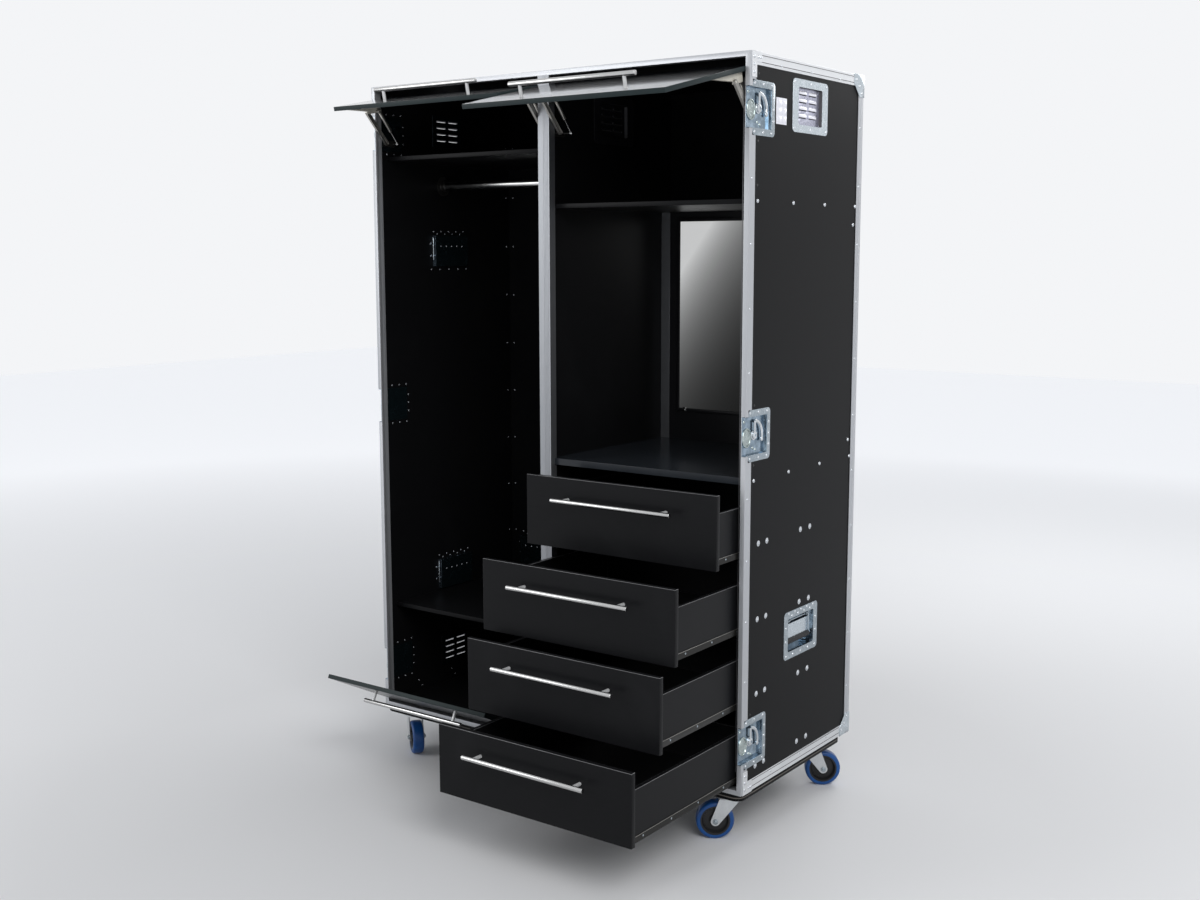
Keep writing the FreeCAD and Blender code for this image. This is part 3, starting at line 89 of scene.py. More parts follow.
@dataclass(frozen=True)
class CaseMeasures:
    """Outer measures of the case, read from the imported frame."""

    half: float
    front: float
    back: float
    floor: float
    roof: float
    skin: float = 11.0
    inset: float = 1.5
    rivet_line: float = 18.0

    def on_side(self, side: int, y: float, z: float, out: float = 0.0) -> Place:
        """A spot on a side wall, y behind the front and out from the wall's face, and its way out."""
        return (side * (self.half + out), self.front + y, z), (side, 0, 0)

    def in_left(self, y: float, z: float) -> Place:
        """A spot on the left wall's inner face, y behind the front, and its way in."""
        return (self.skin - self.half, self.front + y, z), ALONG_X


def read_case() -> CaseMeasures:
    """Read the case's box.

    Returns:
        The measures of the closed profiles round the case.
    """
    low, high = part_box("front_profile")
    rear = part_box("edge_profiles")[1].y
    return CaseMeasures(*(value / MM for value in (high.x, low.y, rear, low.z, high.z)))


CASE = read_case()
JOINTS = {joint["name"]: joint for joint in frame["joints"]}


def pivot_of(joint: str) -> Vector:
    """Place of a joint."""
    return Vector([value / MM for value in JOINTS[joint]["pos_m"]])


class Side(Enum):
    """The side of the case that a fitting is on."""

    LEFT = -1
    RIGHT = 1


# Shader nodes


def feed(tree: Tree, value: Socket | float | Sequence[float], socket: Socket) -> None:
    """Link a socket to another one, or give it a plain value.

    Args:
        tree: The node tree.
        value: A socket to link from, or a number or colour.
        socket: The socket that takes it.
    """
    if isinstance(value, Socket):
        tree.links.new(value, socket)
    else:
        socket.default_value = value


def math_node(tree: Tree, operation: str, *values: Socket | float) -> Socket:
    """Add a math node.

    Args:
        tree: The node tree.
        operation: Name of the operation.
        values: Sockets or numbers that it works on.

    Returns:
        The node's output socket.
    """
    node = tree.nodes.new("ShaderNodeMath")
    node.operation = operation
    for socket, value in zip(node.inputs, values):
        feed(tree, value, socket)
    return node.outputs[0]


def shares(tree: Tree, first: Socket, share: float, second: Socket, rest: float) -> Socket:
    """A share of one value and a share of another, added up."""
    return math_node(tree, "ADD", math_node(tree, "MULTIPLY", first, share),
                     math_node(tree, "MULTIPLY", second, rest))


def limited(tree: Tree, value: Socket) -> Socket:
    """A value kept between nothing and one."""
    return math_node(tree, "MINIMUM", math_node(tree, "MAXIMUM", value, 0.0), 1.0)


def noise(tree: Tree, place: Socket, scale: Socket | float, **values: float) -> Socket:
    """Add a noise node.

    Args:
        tree: The node tree.
        place: The socket with the coordinates.
        scale: Its scale.
        values: Values of its other sockets.

    Returns:
        The socket with the noise.
    """
    node = tree.nodes.new("ShaderNodeTexNoise")
    feed(tree, place, node.inputs["Vector"])
    feed(tree, scale, node.inputs["Scale"])
    for label, value in values.items():
        node.inputs[label].default_value = value
    return node.outputs[0]


def blend(tree: Tree, amount: Socket, *ends: Socket | Sequence[float]) -> Socket:
    """Add a node that mixes two colours.

    Args:
        tree: The node tree.
        amount: Share of the second colour.
        ends: The two colours.

    Returns:
        The socket with the mixed colour.
    """
    node = tree.nodes.new("ShaderNodeMix")
    node.data_type = "RGBA"
    feed(tree, amount, node.inputs["Factor"])
    for label, end in zip("AB", ends):
        feed(tree, end, node.inputs[label])
    return node.outputs["Result"]


def new_group(name: str, output: str, **values: float) -> tuple[Tree, Sockets, Socket]:
    """Make a shader node group that turns coordinates into one value.

    Args:
        name: Name of the group.
        output: Name of its output.
        values: Name and default of each further input.

    Returns:
        The group, what it is given, and the socket that takes its result.
    """
    group = bpy.data.node_groups.new(name, "ShaderNodeTree")
    group.interface.new_socket("Coordinates", in_out="INPUT", socket_type="NodeSocketVector")
    for label, default in values.items():
        given = group.interface.new_socket(label, in_out="INPUT", socket_type="NodeSocketFloat")
        given.default_value = default
    group.interface.new_socket(output, in_out="OUTPUT", socket_type="NodeSocketFloat")
    return group, group.nodes.new("NodeGroupInput").outputs, group.nodes.new("NodeGroupOutput").inputs[output]


def use_group(tree: Tree, group: Tree, place: Socket, **values: float) -> Socket:
    """Place a group in a material.

    Args:
        tree: The material's node tree.
        group: The group.
        place: The socket with the coordinates.
        values: The group's values in this material.

    Returns:
        The socket with the group's result.
    """
    node = tree.nodes.new("ShaderNodeGroup")
    node.node_tree = group
    tree.links.new(place, node.inputs["Coordinates"])
    for label, value in values.items():
        node.inputs[label].default_value = value
    return node.outputs[0]


def build_grain_group() -> Tree:
    """Fine grain: two octaves of noise on stretched coordinates.

    Returns:
        The group, with Coordinates and Scale.
    """
    group, given, grain = new_group("fine_grain", "Grain", Scale=100.0)
    coarse = noise(group, given[0], given[1], Detail=4.0, Roughness=0.6)
    fine = noise(group, given[0], math_node(group, "MULTIPLY", given[1], 3.7), Detail=2.0)
    feed(group, shares(group, coarse, 0.65, fine, 0.35), grain)
    return group


def build_smudge_group() -> Tree:
    """Broad, soft patches such as handling leaves on a finish.

    Returns:
        The group, with Coordinates, Scale and Cover, the share of the surface that they take.
    """
    group, given, smudge = new_group("handling_smudge", "Smudge", Scale=3.0, Cover=0.5)
    patches = noise(group, given[0], given[1], Detail=5.0, Distortion=0.6)
    edge = math_node(group, "SUBTRACT", 0.75, math_node(group, "MULTIPLY", given[2], 0.5))
    over = math_node(group, "MULTIPLY", math_node(group, "SUBTRACT", patches, edge), 4.0)
    feed(group, limited(group, over), smudge)
    return group


def build_scratch_group() -> Tree:
    """Sparse hairline scratches: thin level lines of a bent noise, shown in patches.

    Returns:
        The group, with Coordinates and Scale.
    """
    group, given, scratch = new_group("hairline_scratches", "Scratch", Scale=SCRATCH_SCALE)
    bent = noise(group, given[0], given[1], Detail=0.0, Distortion=1.4)
    near = math_node(group, "ABSOLUTE", math_node(group, "SUBTRACT", bent, 0.5))
    line = math_node(group, "LESS_THAN", near, 0.0012)
    shown = math_node(group, "GREATER_THAN", noise(group, given[0], 6.0), 0.57)
    feed(group, math_node(group, "MULTIPLY", line, shown), scratch)
    return group


GRAIN = build_grain_group()
SMUDGE = build_smudge_group()
SCRATCH = build_scratch_group()


# Finishes


@dataclass(frozen=True)
class Finish:
    """One finish: two tones that the grain runs between, and how the surface takes light."""

    name: str
    slot: str
    dark: Colour
    light: Colour
    rough_low: float
    rough_high: float
    metallic: float = 0.0
    stretch: Colour = (1.0, 1.0, 1.0)
    grain: float = 300.0
    relief: float = 0.0
    depth: float = 0.1 * MM
    smudge: float = 3.0
    cover: float = 0.4
    scratches: float = 0.0
    coat: float = 0.0
    coat_ior: float = 1.42
    coat_rough: float = 0.08
    specular: float = 0.5

    def make(self) -> bpy.types.Material:
        """Build the material, unless it is there already.

        Returns:
            The material.
        """
        known = bpy.data.materials.get(self.name)
        if known:
            return known
        material = bpy.data.materials.new(self.name)
        material.use_nodes = True
        tree = material.node_tree
        shader = tree.nodes["Principled BSDF"].inputs
        place = tree.nodes.new("ShaderNodeTexCoord").outputs["Object"]
        mapping = tree.nodes.new("ShaderNodeMapping")
        feed(tree, self.stretch, mapping.inputs["Scale"])
        feed(tree, place, mapping.inputs["Vector"])
        grain = use_group(tree, GRAIN, mapping.outputs[0], Scale=self.grain)
        smudge = use_group(tree, SMUDGE, place, Scale=self.smudge, Cover=self.cover)
        amount = shares(tree, grain, 0.7, smudge, 0.35)
        if self.scratches:
            scratch = use_group(tree, SCRATCH, place, Scale=SCRATCH_SCALE)
            amount = math_node(tree, "ADD", amount, math_node(tree, "MULTIPLY", scratch, self.scratches))
        self.colour_from(tree, blend(tree, amount, (*self.dark, 1.0), (*self.light, 1.0)), shader)
        wear = math_node(tree, "MULTIPLY", shares(tree, grain, 0.6, smudge, 0.4),
                         self.rough_high - self.rough_low)
        for label, value in (("Roughness", math_node(tree, "ADD", self.rough_low, wear)),
                             ("Metallic", self.metallic), ("Coat Weight", self.coat),
                             ("Coat IOR", self.coat_ior), ("Coat Roughness", self.coat_rough),
                             ("Specular IOR Level", self.specular)):
            feed(tree, value, shader[label])
        if self.relief:
            bump = tree.nodes.new("ShaderNodeBump")
            for label, value in (("Strength", self.relief), ("Distance", self.depth), ("Height", grain)):
                feed(tree, value, bump.inputs[label])
            feed(tree, bump.outputs[0], shader["Normal"])
        return material

    def colour_from(self, tree: Tree, tone: Socket, shader: Sockets) -> None:
        """Feed the shader's colour; other finishes may lay something over the tone."""
        feed(tree, tone, shader["Base Color"])


@dataclass(frozen=True)
class PaintedReflectionGlass(Finish):
    """Mirror glass with a painted reflection: a pale room painted at its upper left that darkens to its lower
    right, with a painted glow.
    """

    low: Colour = (0.0, 0.0, 0.0)
    high: Colour = (1.0, 1.0, 1.0)
    start: float = 1.5
    fade_across: float = 9.07
    fade_down: float = 6.62
    brightest: float = 0.55
    dimmest: float = 0.008
    glow: float = 0.92

    def colour_from(self, tree: Tree, tone: Socket, shader: Sockets) -> None:
        """Paint the reflection so that it fades evenly across and down, and let it glow of itself.

        Args:
            tree: The material's node tree.
            tone: The socket with the finish's tone.
            shader: The shader's inputs.
        """
        split = tree.nodes.new("ShaderNodeSeparateXYZ")
        feed(tree, tree.nodes.new("ShaderNodeTexCoord").outputs["Object"], split.inputs[0])
        across = math_node(tree, "SUBTRACT", self.low[0], split.outputs[0])
        down = math_node(tree, "SUBTRACT", split.outputs[2], self.high[2])
        fall = math_node(tree, "EXPONENT", shares(tree, across, self.fade_across, down, self.fade_down))
        level = math_node(tree, "MINIMUM", math_node(tree, "MULTIPLY", fall, self.start), self.brightest)
        painted_reflection = blend(tree, math_node(tree, "ADD", level, self.dimmest), BLACK, tone)
        for label, value in (("Base Color", painted_reflection), ("Emission Color", painted_reflection), ("Emission Strength", self.glow)):
            feed(tree, value, shader[label])


FILM = Finish("black_film_board", "film_board", (0.003, 0.0031, 0.0036), (0.0095, 0.0096, 0.0103), 0.30, 0.46,
              grain=520.0, relief=0.55, depth=0.06 * MM, cover=0.45, scratches=0.12, specular=0.065)
FLAP_FILM = Finish("glossy_flap_film", "film_board", (0.003, 0.0034, 0.0044), (0.010, 0.0112, 0.0135),
                   0.28, 0.42, grain=420.0, cover=0.5, scratches=0.1, specular=0.1, coat=1.0)
DROP_FILM = Finish("satin_flap_film", "film_board", (0.003, 0.0032, 0.0038), (0.012, 0.0124, 0.0135),
                   0.28, 0.42, grain=420.0, cover=0.5, scratches=0.1, specular=0.1, coat=0.3)
COUNTER_GLOSS = Finish("gloss_black_counter", "counter_board", (0.013, 0.0155, 0.019), (0.028, 0.033, 0.040),
                       0.14, 0.28, stretch=(0.15, 1.0, 1.0), grain=260.0, relief=0.3, depth=0.04 * MM,
                       cover=0.5, scratches=0.08, specular=0.3)
DRAWER_BOARD = Finish("satin_black_board", "drawer_board", (0.003, 0.0032, 0.0038), (0.013, 0.0132, 0.0145),
                      0.28, 0.44, stretch=(0.12, 1.0, 3.0), grain=260.0, relief=0.4, depth=0.05 * MM,
                      scratches=0.05, specular=0.1)
PLY_EDGE = Finish("bare_ply_edge", "film_board", (0.06, 0.052, 0.045), (0.15, 0.135, 0.12), 0.5, 0.65,
                  stretch=(0.1, 0.1, 1.0))
ALUMINIUM = Finish("anodised_aluminium", "aluminium_profile", (0.40, 0.415, 0.44), (0.58, 0.59, 0.61),
                   0.34, 0.5, 0.65, stretch=(1.0, 1.0, 0.04), grain=900.0, relief=0.12, depth=0.03 * MM)
# A lighter copy of the aluminium for the flat flanges, braces and ridges: a painted highlight.
LIT_ALUMINIUM_ACROSS = Finish("anodised_aluminium_across", "aluminium_profile", (0.62, 0.635, 0.655),
                          (0.82, 0.83, 0.845), 0.34, 0.5, 0.55, stretch=(0.04, 0.04, 1.0), grain=900.0,
                          relief=0.12, depth=0.03 * MM)
DULL_ALUMINIUM = Finish("dull_aluminium", "aluminium_profile", (0.20, 0.208, 0.225), (0.36, 0.37, 0.385),
                        0.38, 0.54, 0.9, stretch=(1.0, 1.0, 0.04), grain=900.0, relief=0.12,
                        depth=0.03 * MM)
ZINC = Finish("bright_zinc", "zinc_steel", (0.24, 0.28, 0.31), (0.54, 0.60, 0.64), 0.2, 0.38, 0.95,
              grain=170.0, relief=0.06, smudge=60.0, cover=0.5)
PALE_ZINC = Finish("pale_zinc", "zinc_steel", (0.47, 0.52, 0.56), (0.66, 0.72, 0.76), 0.2, 0.36, 0.85,
                   grain=240.0, relief=0.04, smudge=60.0, cover=0.5)
# Darker, high-contrast zinc for the inside of the latch and handle dishes: painted shade of the recess.
SHADED_PAN_ZINC = Finish("blue_pan_zinc", "zinc_steel", (0.045, 0.075, 0.095), (0.50, 0.62, 0.74), 0.06, 0.24, 0.95,
                  grain=60.0, relief=0.3, smudge=52.0, cover=0.6)
SHADED_ZINC = Finish("shaded_zinc", "zinc_steel", (0.035, 0.035, 0.04), (0.11, 0.105, 0.115), 0.3, 0.5, 0.8,
                     grain=110.0, smudge=30.0)
# Nearly black zinc on the backs of the dishes inside the case: painted shade.
DISH_BACK_SHADE = Finish("dark_dish_back", "zinc_steel", (0.008, 0.016, 0.02), (0.035, 0.06, 0.07), 0.2, 0.36, 0.8,
                   grain=90.0, smudge=30.0)
VENT_ZINC = Finish("vent_floor_zinc", "zinc_steel", (0.36, 0.36, 0.45), (0.58, 0.59, 0.70), 0.22, 0.4, 0.8,
                   grain=150.0, relief=0.05, smudge=30.0, cover=0.5)
HOUSING_ZINC = Finish("cam_housing_zinc", "zinc_steel", (0.16, 0.20, 0.20), (0.78, 0.86, 0.84), 0.03, 0.1,
                      0.95, grain=110.0, smudge=70.0, cover=0.5)
LEVER_STEEL = Finish("polished_lever", "zinc_steel", (0.42, 0.45, 0.47), (0.86, 0.89, 0.92), 0.03, 0.1, 1.0,
                     grain=90.0, smudge=50.0, cover=0.5)
# Paler rounded edges on the upper half of the drawer boards: painted highlight.
EDGE_HIGHLIGHT = Finish("board_edge_sheen", "drawer_board", (0.10, 0.10, 0.105), (0.20, 0.20, 0.205), 0.25, 0.4)
EDGE_BAND = Finish("dark_edge_band", "film_board", (0.010, 0.016, 0.017), (0.024, 0.036, 0.038), 0.4, 0.55,
                   specular=0.15)
SHADED_TIN = Finish("shaded_vent_tin", "zinc_steel", (0.012, 0.012, 0.014), (0.035, 0.035, 0.04), 0.3, 0.5, 0.6,
                    grain=150.0, smudge=30.0)
RIVET_ZINC = Finish("rivet_zinc", "zinc_steel", (0.5, 0.53, 0.56), (0.75, 0.77, 0.8), 0.2, 0.35, 0.9,
                    grain=200.0, smudge=20.0)
CASTOR_ZINC = Finish("dull_zinc", "zinc_steel", (0.48, 0.50, 0.52), (0.78, 0.80, 0.81), 0.24, 0.44, 0.9,
                     grain=200.0, smudge=18.0, cover=0.5)
STAINLESS = Finish("brushed_stainless", "handle_steel", (0.42, 0.42, 0.42), (0.66, 0.66, 0.65), 0.16, 0.34,
                   1.0, stretch=(0.03, 1.0, 1.0), grain=1400.0, relief=0.1, depth=0.02 * MM)
STAY_STEEL = Finish("nickelled_steel", "handle_steel", (0.26, 0.25, 0.23), (0.44, 0.43, 0.40), 0.26, 0.42,
                    0.9, smudge=20.0)
POST_STEEL = Finish("dull_post_steel", "handle_steel", (0.52, 0.525, 0.53), (0.74, 0.745, 0.75), 0.3, 0.45, 0.3)
# Steel darkened to near black for the runners, their channels and the rail sockets: painted shade.
SHADED_RUNNER_STEEL = Finish("dark_runner_steel", "handle_steel", (0.008, 0.0078, 0.007), (0.022, 0.021, 0.019), 0.34,
                      0.5, 0.3, smudge=20.0)
# Bright tin for the bare plate; on the outer vent hoods the same pale tone paints their highlight.
BRIGHT_TIN = Finish("bright_tin", "zinc_steel", (0.74, 0.74, 0.80), (0.93, 0.93, 0.98), 0.25, 0.4, 0.5,
                    grain=220.0, smudge=30.0)
CREAM = Finish("cream_cover", "handle_steel", (0.42, 0.40, 0.34), (0.58, 0.56, 0.5), 0.4, 0.55, grain=500.0)
GROOVE_SHADE = Finish("groove_shade", "aluminium_profile", (0.06, 0.06, 0.064), (0.13, 0.13, 0.137), 0.4, 0.55,
                      0.7, stretch=(0.04, 0.04, 1.0), grain=500.0)
GRIP_RUBBER = Finish("black_grip_rubber", "black_rubber", (0.012, 0.012, 0.013), (0.03, 0.03, 0.032),
                     0.5, 0.7, grain=700.0, relief=0.3, depth=0.1 * MM, specular=0.3)
BLACK_PLASTIC = Finish("black_hub_plastic", "black_rubber", (0.010, 0.010, 0.011), (0.022, 0.022, 0.024),
                       0.35, 0.5, grain=500.0, relief=0.2, depth=0.05 * MM, specular=0.35)
BLUE_TYRE = Finish("blue_elastic_tyre", "blue_tyre", (0.003, 0.032, 0.14), (0.010, 0.11, 0.38), 0.3, 0.5,
                   grain=350.0, relief=0.25, depth=0.1 * MM, smudge=25.0, cover=0.55, specular=0.4)
FRAME_BLACK = Finish("black_frame", "film_board", (0.006, 0.006, 0.007), (0.014, 0.014, 0.016), 0.3, 0.42,
                     grain=400.0, specular=0.25)
# Mirror glass whose colour and glow paint a reflection of a pale room, fading to its lower right.
MIRROR = PaintedReflectionGlass("silvered_glass", "mirror_glass", (0.94, 0.95, 0.95), (0.98, 0.99, 0.99), 0.05, 0.12,
                       0.2, grain=30.0, low=tuple(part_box("mirror_pane")[0]),
                       high=tuple(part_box("mirror_pane")[1]))


# Shapes


def metres(spot: Point) -> Vector:
    """A point in metres."""
    return Vector([value * MM for value in spot])


def at(spot: Point) -> Matrix:
    """The matrix that moves a mesh from the origin to a point."""
    return Matrix.Translation(metres(spot))


def pointed(way: Point) -> Matrix:
    """The matrix that turns +Z to a direction."""
    return Vector(way).to_track_quat("Z", "Y").to_matrix().to_4x4()


def facing(side: Side) -> Matrix:
    """Turn a thing drawn in XY with +Z outwards to a side wall: its x goes to the back, its y up."""
    return Matrix(((0, 0, side.value, 0), (1, 0, 0, 0), (0, 1, 0, 0), (0, 0, 0, 1)))


def moved(mesh: Mesh, matrix: Matrix) -> Mesh:
    """Put a mesh in its place.

    Args:
        mesh: The mesh, whose faces point outwards.
        matrix: Its place; if it mirrors the mesh, the faces are turned round.

    Returns:
        The same mesh.
    """
    mesh.transform(matrix)
    if matrix.determinant() < 0:
        bmesh.ops.reverse_faces(mesh, faces=mesh.faces)
    return mesh


def turned_out(mesh: Mesh) -> Mesh:
    """Make the faces of one shell point outwards.

    Args:
        mesh: The mesh.

    Returns:
        The same mesh.
    """
    bmesh.ops.recalc_face_normals(mesh, faces=mesh.faces)
    if mesh.calc_volume(signed=True) < 0:
        bmesh.ops.reverse_faces(mesh, faces=mesh.faces)
    return mesh


def join(*pieces: Mesh) -> Mesh:
    """Put several meshes into one.

    Args:
        pieces: The meshes, which are freed.

    Returns:
        The mesh of all of them.
    """
    whole = bmesh.new()
    for piece in pieces:
        mesh = bpy.data.meshes.new("joining")
        piece.to_mesh(mesh)
        piece.free()
        whole.from_mesh(mesh)
        bpy.data.meshes.remove(mesh)
    return whole


def round_edges(mesh: Mesh, edges: Iterable, width: float, segments: int = 2) -> None:
    """Round some edges of a mesh."""
    bmesh.ops.bevel(mesh, geom=list(edges), offset=width * MM, offset_type="OFFSET", affect="EDGES",
                    segments=segments, profile=0.5, material=-1, clamp_overlap=True)


def round_creases(mesh: Mesh, width: float, angle: float, segments: int = 2) -> None:
    """Round the edges that turn by more than an angle in degrees."""
    round_edges(mesh, [edge for edge in mesh.edges if len(edge.link_faces) == 2
                       and edge.calc_face_angle(0) > math.radians(angle)], width, segments)


def cut_off(mesh: Mesh, spot: Point, way: Point, close: bool = True) -> None:
    """Cut a mesh at a plane and drop one part.

    Args:
        mesh: The mesh.
        spot: A point on the plane.
        way: The plane's direction, which points to the part that is dropped.
        close: Whether the cut is closed with a face.
    """
    cut = bmesh.ops.bisect_plane(mesh, geom=[*mesh.verts, *mesh.edges, *mesh.faces],
                                 plane_co=metres(spot), plane_no=way, clear_outer=True)["geom_cut"]
    if close:
        bmesh.ops.edgenet_fill(mesh, edges=[item for item in cut if isinstance(item, bmesh.types.BMEdge)])


def block(low: Point, high: Point, soft: float = 0.0, segments: int = 2) -> Mesh:
    """A box between two corners.

    Args:
        low: Lowest corner.
        high: Highest corner.
        soft: Width of the edge rounding.
        segments: Faces across the rounding.

    Returns:
        The mesh.
    """
    mesh = bmesh.new()
    start = metres(low)
    size = metres(high) - start
    bmesh.ops.create_cube(mesh, size=1.0)
    bmesh.ops.scale(mesh, vec=size, verts=mesh.verts)
    bmesh.ops.translate(mesh, vec=start + size / 2, verts=mesh.verts)
    if soft:
        round_edges(mesh, mesh.edges, soft, segments)
    return mesh


def rod(start: Point, end: Point, radius: float, soft: float = 0.0, steps: int = 32) -> Mesh:
    """A round bar between two points.

    Args:
        start: Centre of the first end.
        end: Centre of the other end.
        radius: Its radius.
        soft: Rounding of the rims.
        steps: Faces round it.

    Returns:
        The mesh.
    """
    mesh = bmesh.new()
    foot, head = metres(start), metres(end)
    bmesh.ops.create_cone(mesh, cap_ends=True, segments=steps, radius1=radius * MM, radius2=radius * MM,
                          depth=(head - foot).length)
    if soft:
        rims = [edge for edge in mesh.edges if any(len(face.verts) == steps for face in edge.link_faces)]
        round_edges(mesh, rims, soft, 3)
    return moved(mesh, Matrix.Translation((foot + head) / 2) @ pointed(head - foot))


def lathe(profile: Sequence[tuple[float, float]], steps: int = 48) -> Mesh:
    """Turn a closed outline once round the Z axis.

    Args:
        profile: Radius and height of each point, in order.
        steps: Faces round it.

    Returns:
        The mesh.
    """
    mesh = bmesh.new()
    ring = [mesh.verts.new((radius * MM, 0.0, height * MM)) for radius, height in profile]
    edges = [mesh.edges.new(pair) for pair in zip(ring, ring[1:] + ring[:1])]
    bmesh.ops.spin(mesh, geom=ring + edges, cent=(0, 0, 0), axis=(0, 0, 1), dvec=(0, 0, 0),
                   angle=2 * math.pi, steps=steps, use_merge=True, use_duplicate=False)
    bmesh.ops.remove_doubles(mesh, verts=mesh.verts, dist=SPECK)
    return turned_out(mesh)


def plate(outline: Sequence[tuple[float, float]], thickness: float, soft: float = 0.0) -> Mesh:
    """A flat sheet that stands on z = 0.

    Args:
        outline: Points of its outline in XY.
        thickness: Its thickness.
        soft: Width of the edge rounding.

    Returns:
        The mesh.
    """
    mesh = bmesh.new()
    face = mesh.faces.new([mesh.verts.new((x * MM, y * MM, 0.0)) for x, y in outline])
    lifted = bmesh.ops.extrude_face_region(mesh, geom=[face])
    top = [item for item in lifted["geom"] if isinstance(item, bmesh.types.BMVert)]
    bmesh.ops.translate(mesh, vec=(0, 0, thickness * MM), verts=top)
    turned_out(mesh)
    if soft:
        round_creases(mesh, soft, 50)
    return mesh


def ring_spot(radius: float, degrees: float) -> tuple[float, float]:
    """Where a radius at an angle ends."""
    return radius * math.cos(math.radians(degrees)), radius * math.sin(math.radians(degrees))


def rounded_outline(half_x: float, half_y: float, radius: float) -> list[tuple[float, float]]:
    """Outline of a rectangle with round corners about the origin.

    Args:
        half_x: Half its width.
        half_y: Half its height.
        radius: Radius of its corners.

    Returns:
        The points of the outline.
    """
    steps = 8
    points = []
    for x, y, start in ((1, 1, 0), (-1, 1, 90), (-1, -1, 180), (1, -1, 270)):
        for step in range(steps + 1):
            across, along = ring_spot(radius, start + 90 * step / steps)
            points.append((x * (half_x - radius) + across, y * (half_y - radius) + along))
    return points


def sweep(path: Sequence[Point], radius: float, steps: int = 12, flat: float = 1.0) -> Mesh:
    """A bar that follows a path; flat narrows its section along the path's own up direction.

    Args:
        path: Points of the centre line.
        radius: Half the width of the section.
        steps: Faces round the section.
        flat: Height of the section over its width.

    Returns:
        The closed mesh.
    """
    mesh = bmesh.new()
    points = [metres(point) for point in path]
    rings = []
    for index, point in enumerate(points):
        ahead = points[min(index + 1, len(points) - 1)] - points[max(index - 1, 0)]
        made = bmesh.ops.create_circle(mesh, cap_ends=False, segments=steps, radius=radius * MM)["verts"]
        bmesh.ops.scale(mesh, vec=(1, flat, 1), verts=made)
        bmesh.ops.transform(mesh, matrix=Matrix.Translation(point) @ pointed(ahead), verts=made)
        rings.append(made)
    for before, made in zip(rings, rings[1:]):
        for step in range(steps):
            after = (step + 1) % steps
            mesh.faces.new((before[step], before[after], made[after], made[step]))
    for made in (rings[0], rings[-1]):
        mesh.faces.new(made)
    return turned_out(mesh)


def rivets(places: Sequence[Place], radius: float, height: float = 1.3, steps: int = 10) -> Mesh:
    """Many low round heads.

    Args:
        places: Foot and outward direction of each.
        radius: Radius of a head.
        height: Height of a head.
        steps: Faces round a head.

    Returns:
        One mesh with all of them.
    """
    head = bmesh.new()
    bmesh.ops.create_uvsphere(head, u_segments=steps, v_segments=6, radius=radius * MM)
    cut_off(head, (0, 0, 0), DOWN, close=False)
    bmesh.ops.scale(head, vec=(1, 1, height / radius), verts=head.verts)
    source = bpy.data.meshes.new("head")
    head.to_mesh(source)
    head.free()
    whole = bmesh.new()
    for foot, way in places:
        before = len(whole.verts)
        whole.from_mesh(source)
        whole.verts.ensure_lookup_table()
        fresh = [whole.verts[index] for index in range(before, len(whole.verts))]
        bmesh.ops.transform(whole, matrix=at(foot) @ pointed(way), verts=fresh)
    bpy.data.meshes.remove(source)
    return whole


def spread(low: float, high: float, pitch: float) -> list[float]:
    """Places in a row.

    Args:
        low: Where the row may start.
        high: Where it has to end.
        pitch: Distance from place to place.

    Returns:
        As many places as fit, centred between the ends.
    """
    count = int((high - low) / pitch)
    start = (low + high - count * pitch) / 2
    return [start + pitch * index for index in range(count + 1)]


# Pieces


def show(name: str, data: bpy.types.ID) -> bpy.types.Object:
    """Make an object of its data and put it in the scene.

    Args:
        name: Name of the object.
        data: Its mesh, lamp or camera.

    Returns:
        The object.
    """
    thing = bpy.data.objects.new(name, data)
    bpy.context.scene.collection.objects.link(thing)
    return thing


def add_piece(name: str, mesh: Mesh, body: str, finish: Finish, stands_for: Sequence[str] = (),
              crisp: float = 32.0) -> bpy.types.Object:
    """Make an object of a mesh and tie it to the frame.

    Args:
        name: Name of the piece.
        mesh: Its mesh, which is freed.
        body: The body that it rides on.
        finish: Its finish.
        stands_for: Nodes of the frame that it replaces.
        crisp: Edges turned by more degrees than this stay sharp.

    Returns:
        The object.
    """
    data = bpy.data.meshes.new(name)
    if any(face.normal.length == 0 for face in mesh.faces):
        bmesh.ops.dissolve_degenerate(mesh, dist=SPECK, edges=mesh.edges)
    mesh.to_mesh(data)
    mesh.free()
    data.shade_smooth()
    data.set_sharp_from_angle(angle=math.radians(crisp))
    for face in data.polygons:
        rim = sum((data.vertices[a].co - data.vertices[b].co).length for a, b in face.edge_keys)
        face.use_smooth = face.area < BROAD * rim
    data.materials.append(finish.make())
    piece = show(name, data)
    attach(piece, body)
    if stands_for:
        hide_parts(*stands_for)
    LOG.info("%s: %d faces on %s", name, len(data.polygons), body)
    return piece


def line_pan(piece: bpy.types.Object, finish: Finish, within: Test) -> None:
    """Give some faces of a piece another finish.

    Args:
        piece: The piece.
        finish: Its further finish.
        within: Says by a face's middle and normal whether it gets it.
    """
    piece.data.materials.append(finish.make())
    last = len(piece.data.materials) - 1
    for face in piece.data.polygons:
        if within(face.center / MM, face.normal):
            face.material_index = last


def merged(node: str) -> Mesh:
    """A copy of a node's mesh with its doubles merged.

    Args:
        node: Name of the node.

    Returns:
        The mesh.
    """
    mesh = bmesh.new()
    mesh.from_mesh(frame["nodes"][node].data)
    bmesh.ops.remove_doubles(mesh, verts=mesh.verts, dist=DOUBLES)
    return mesh


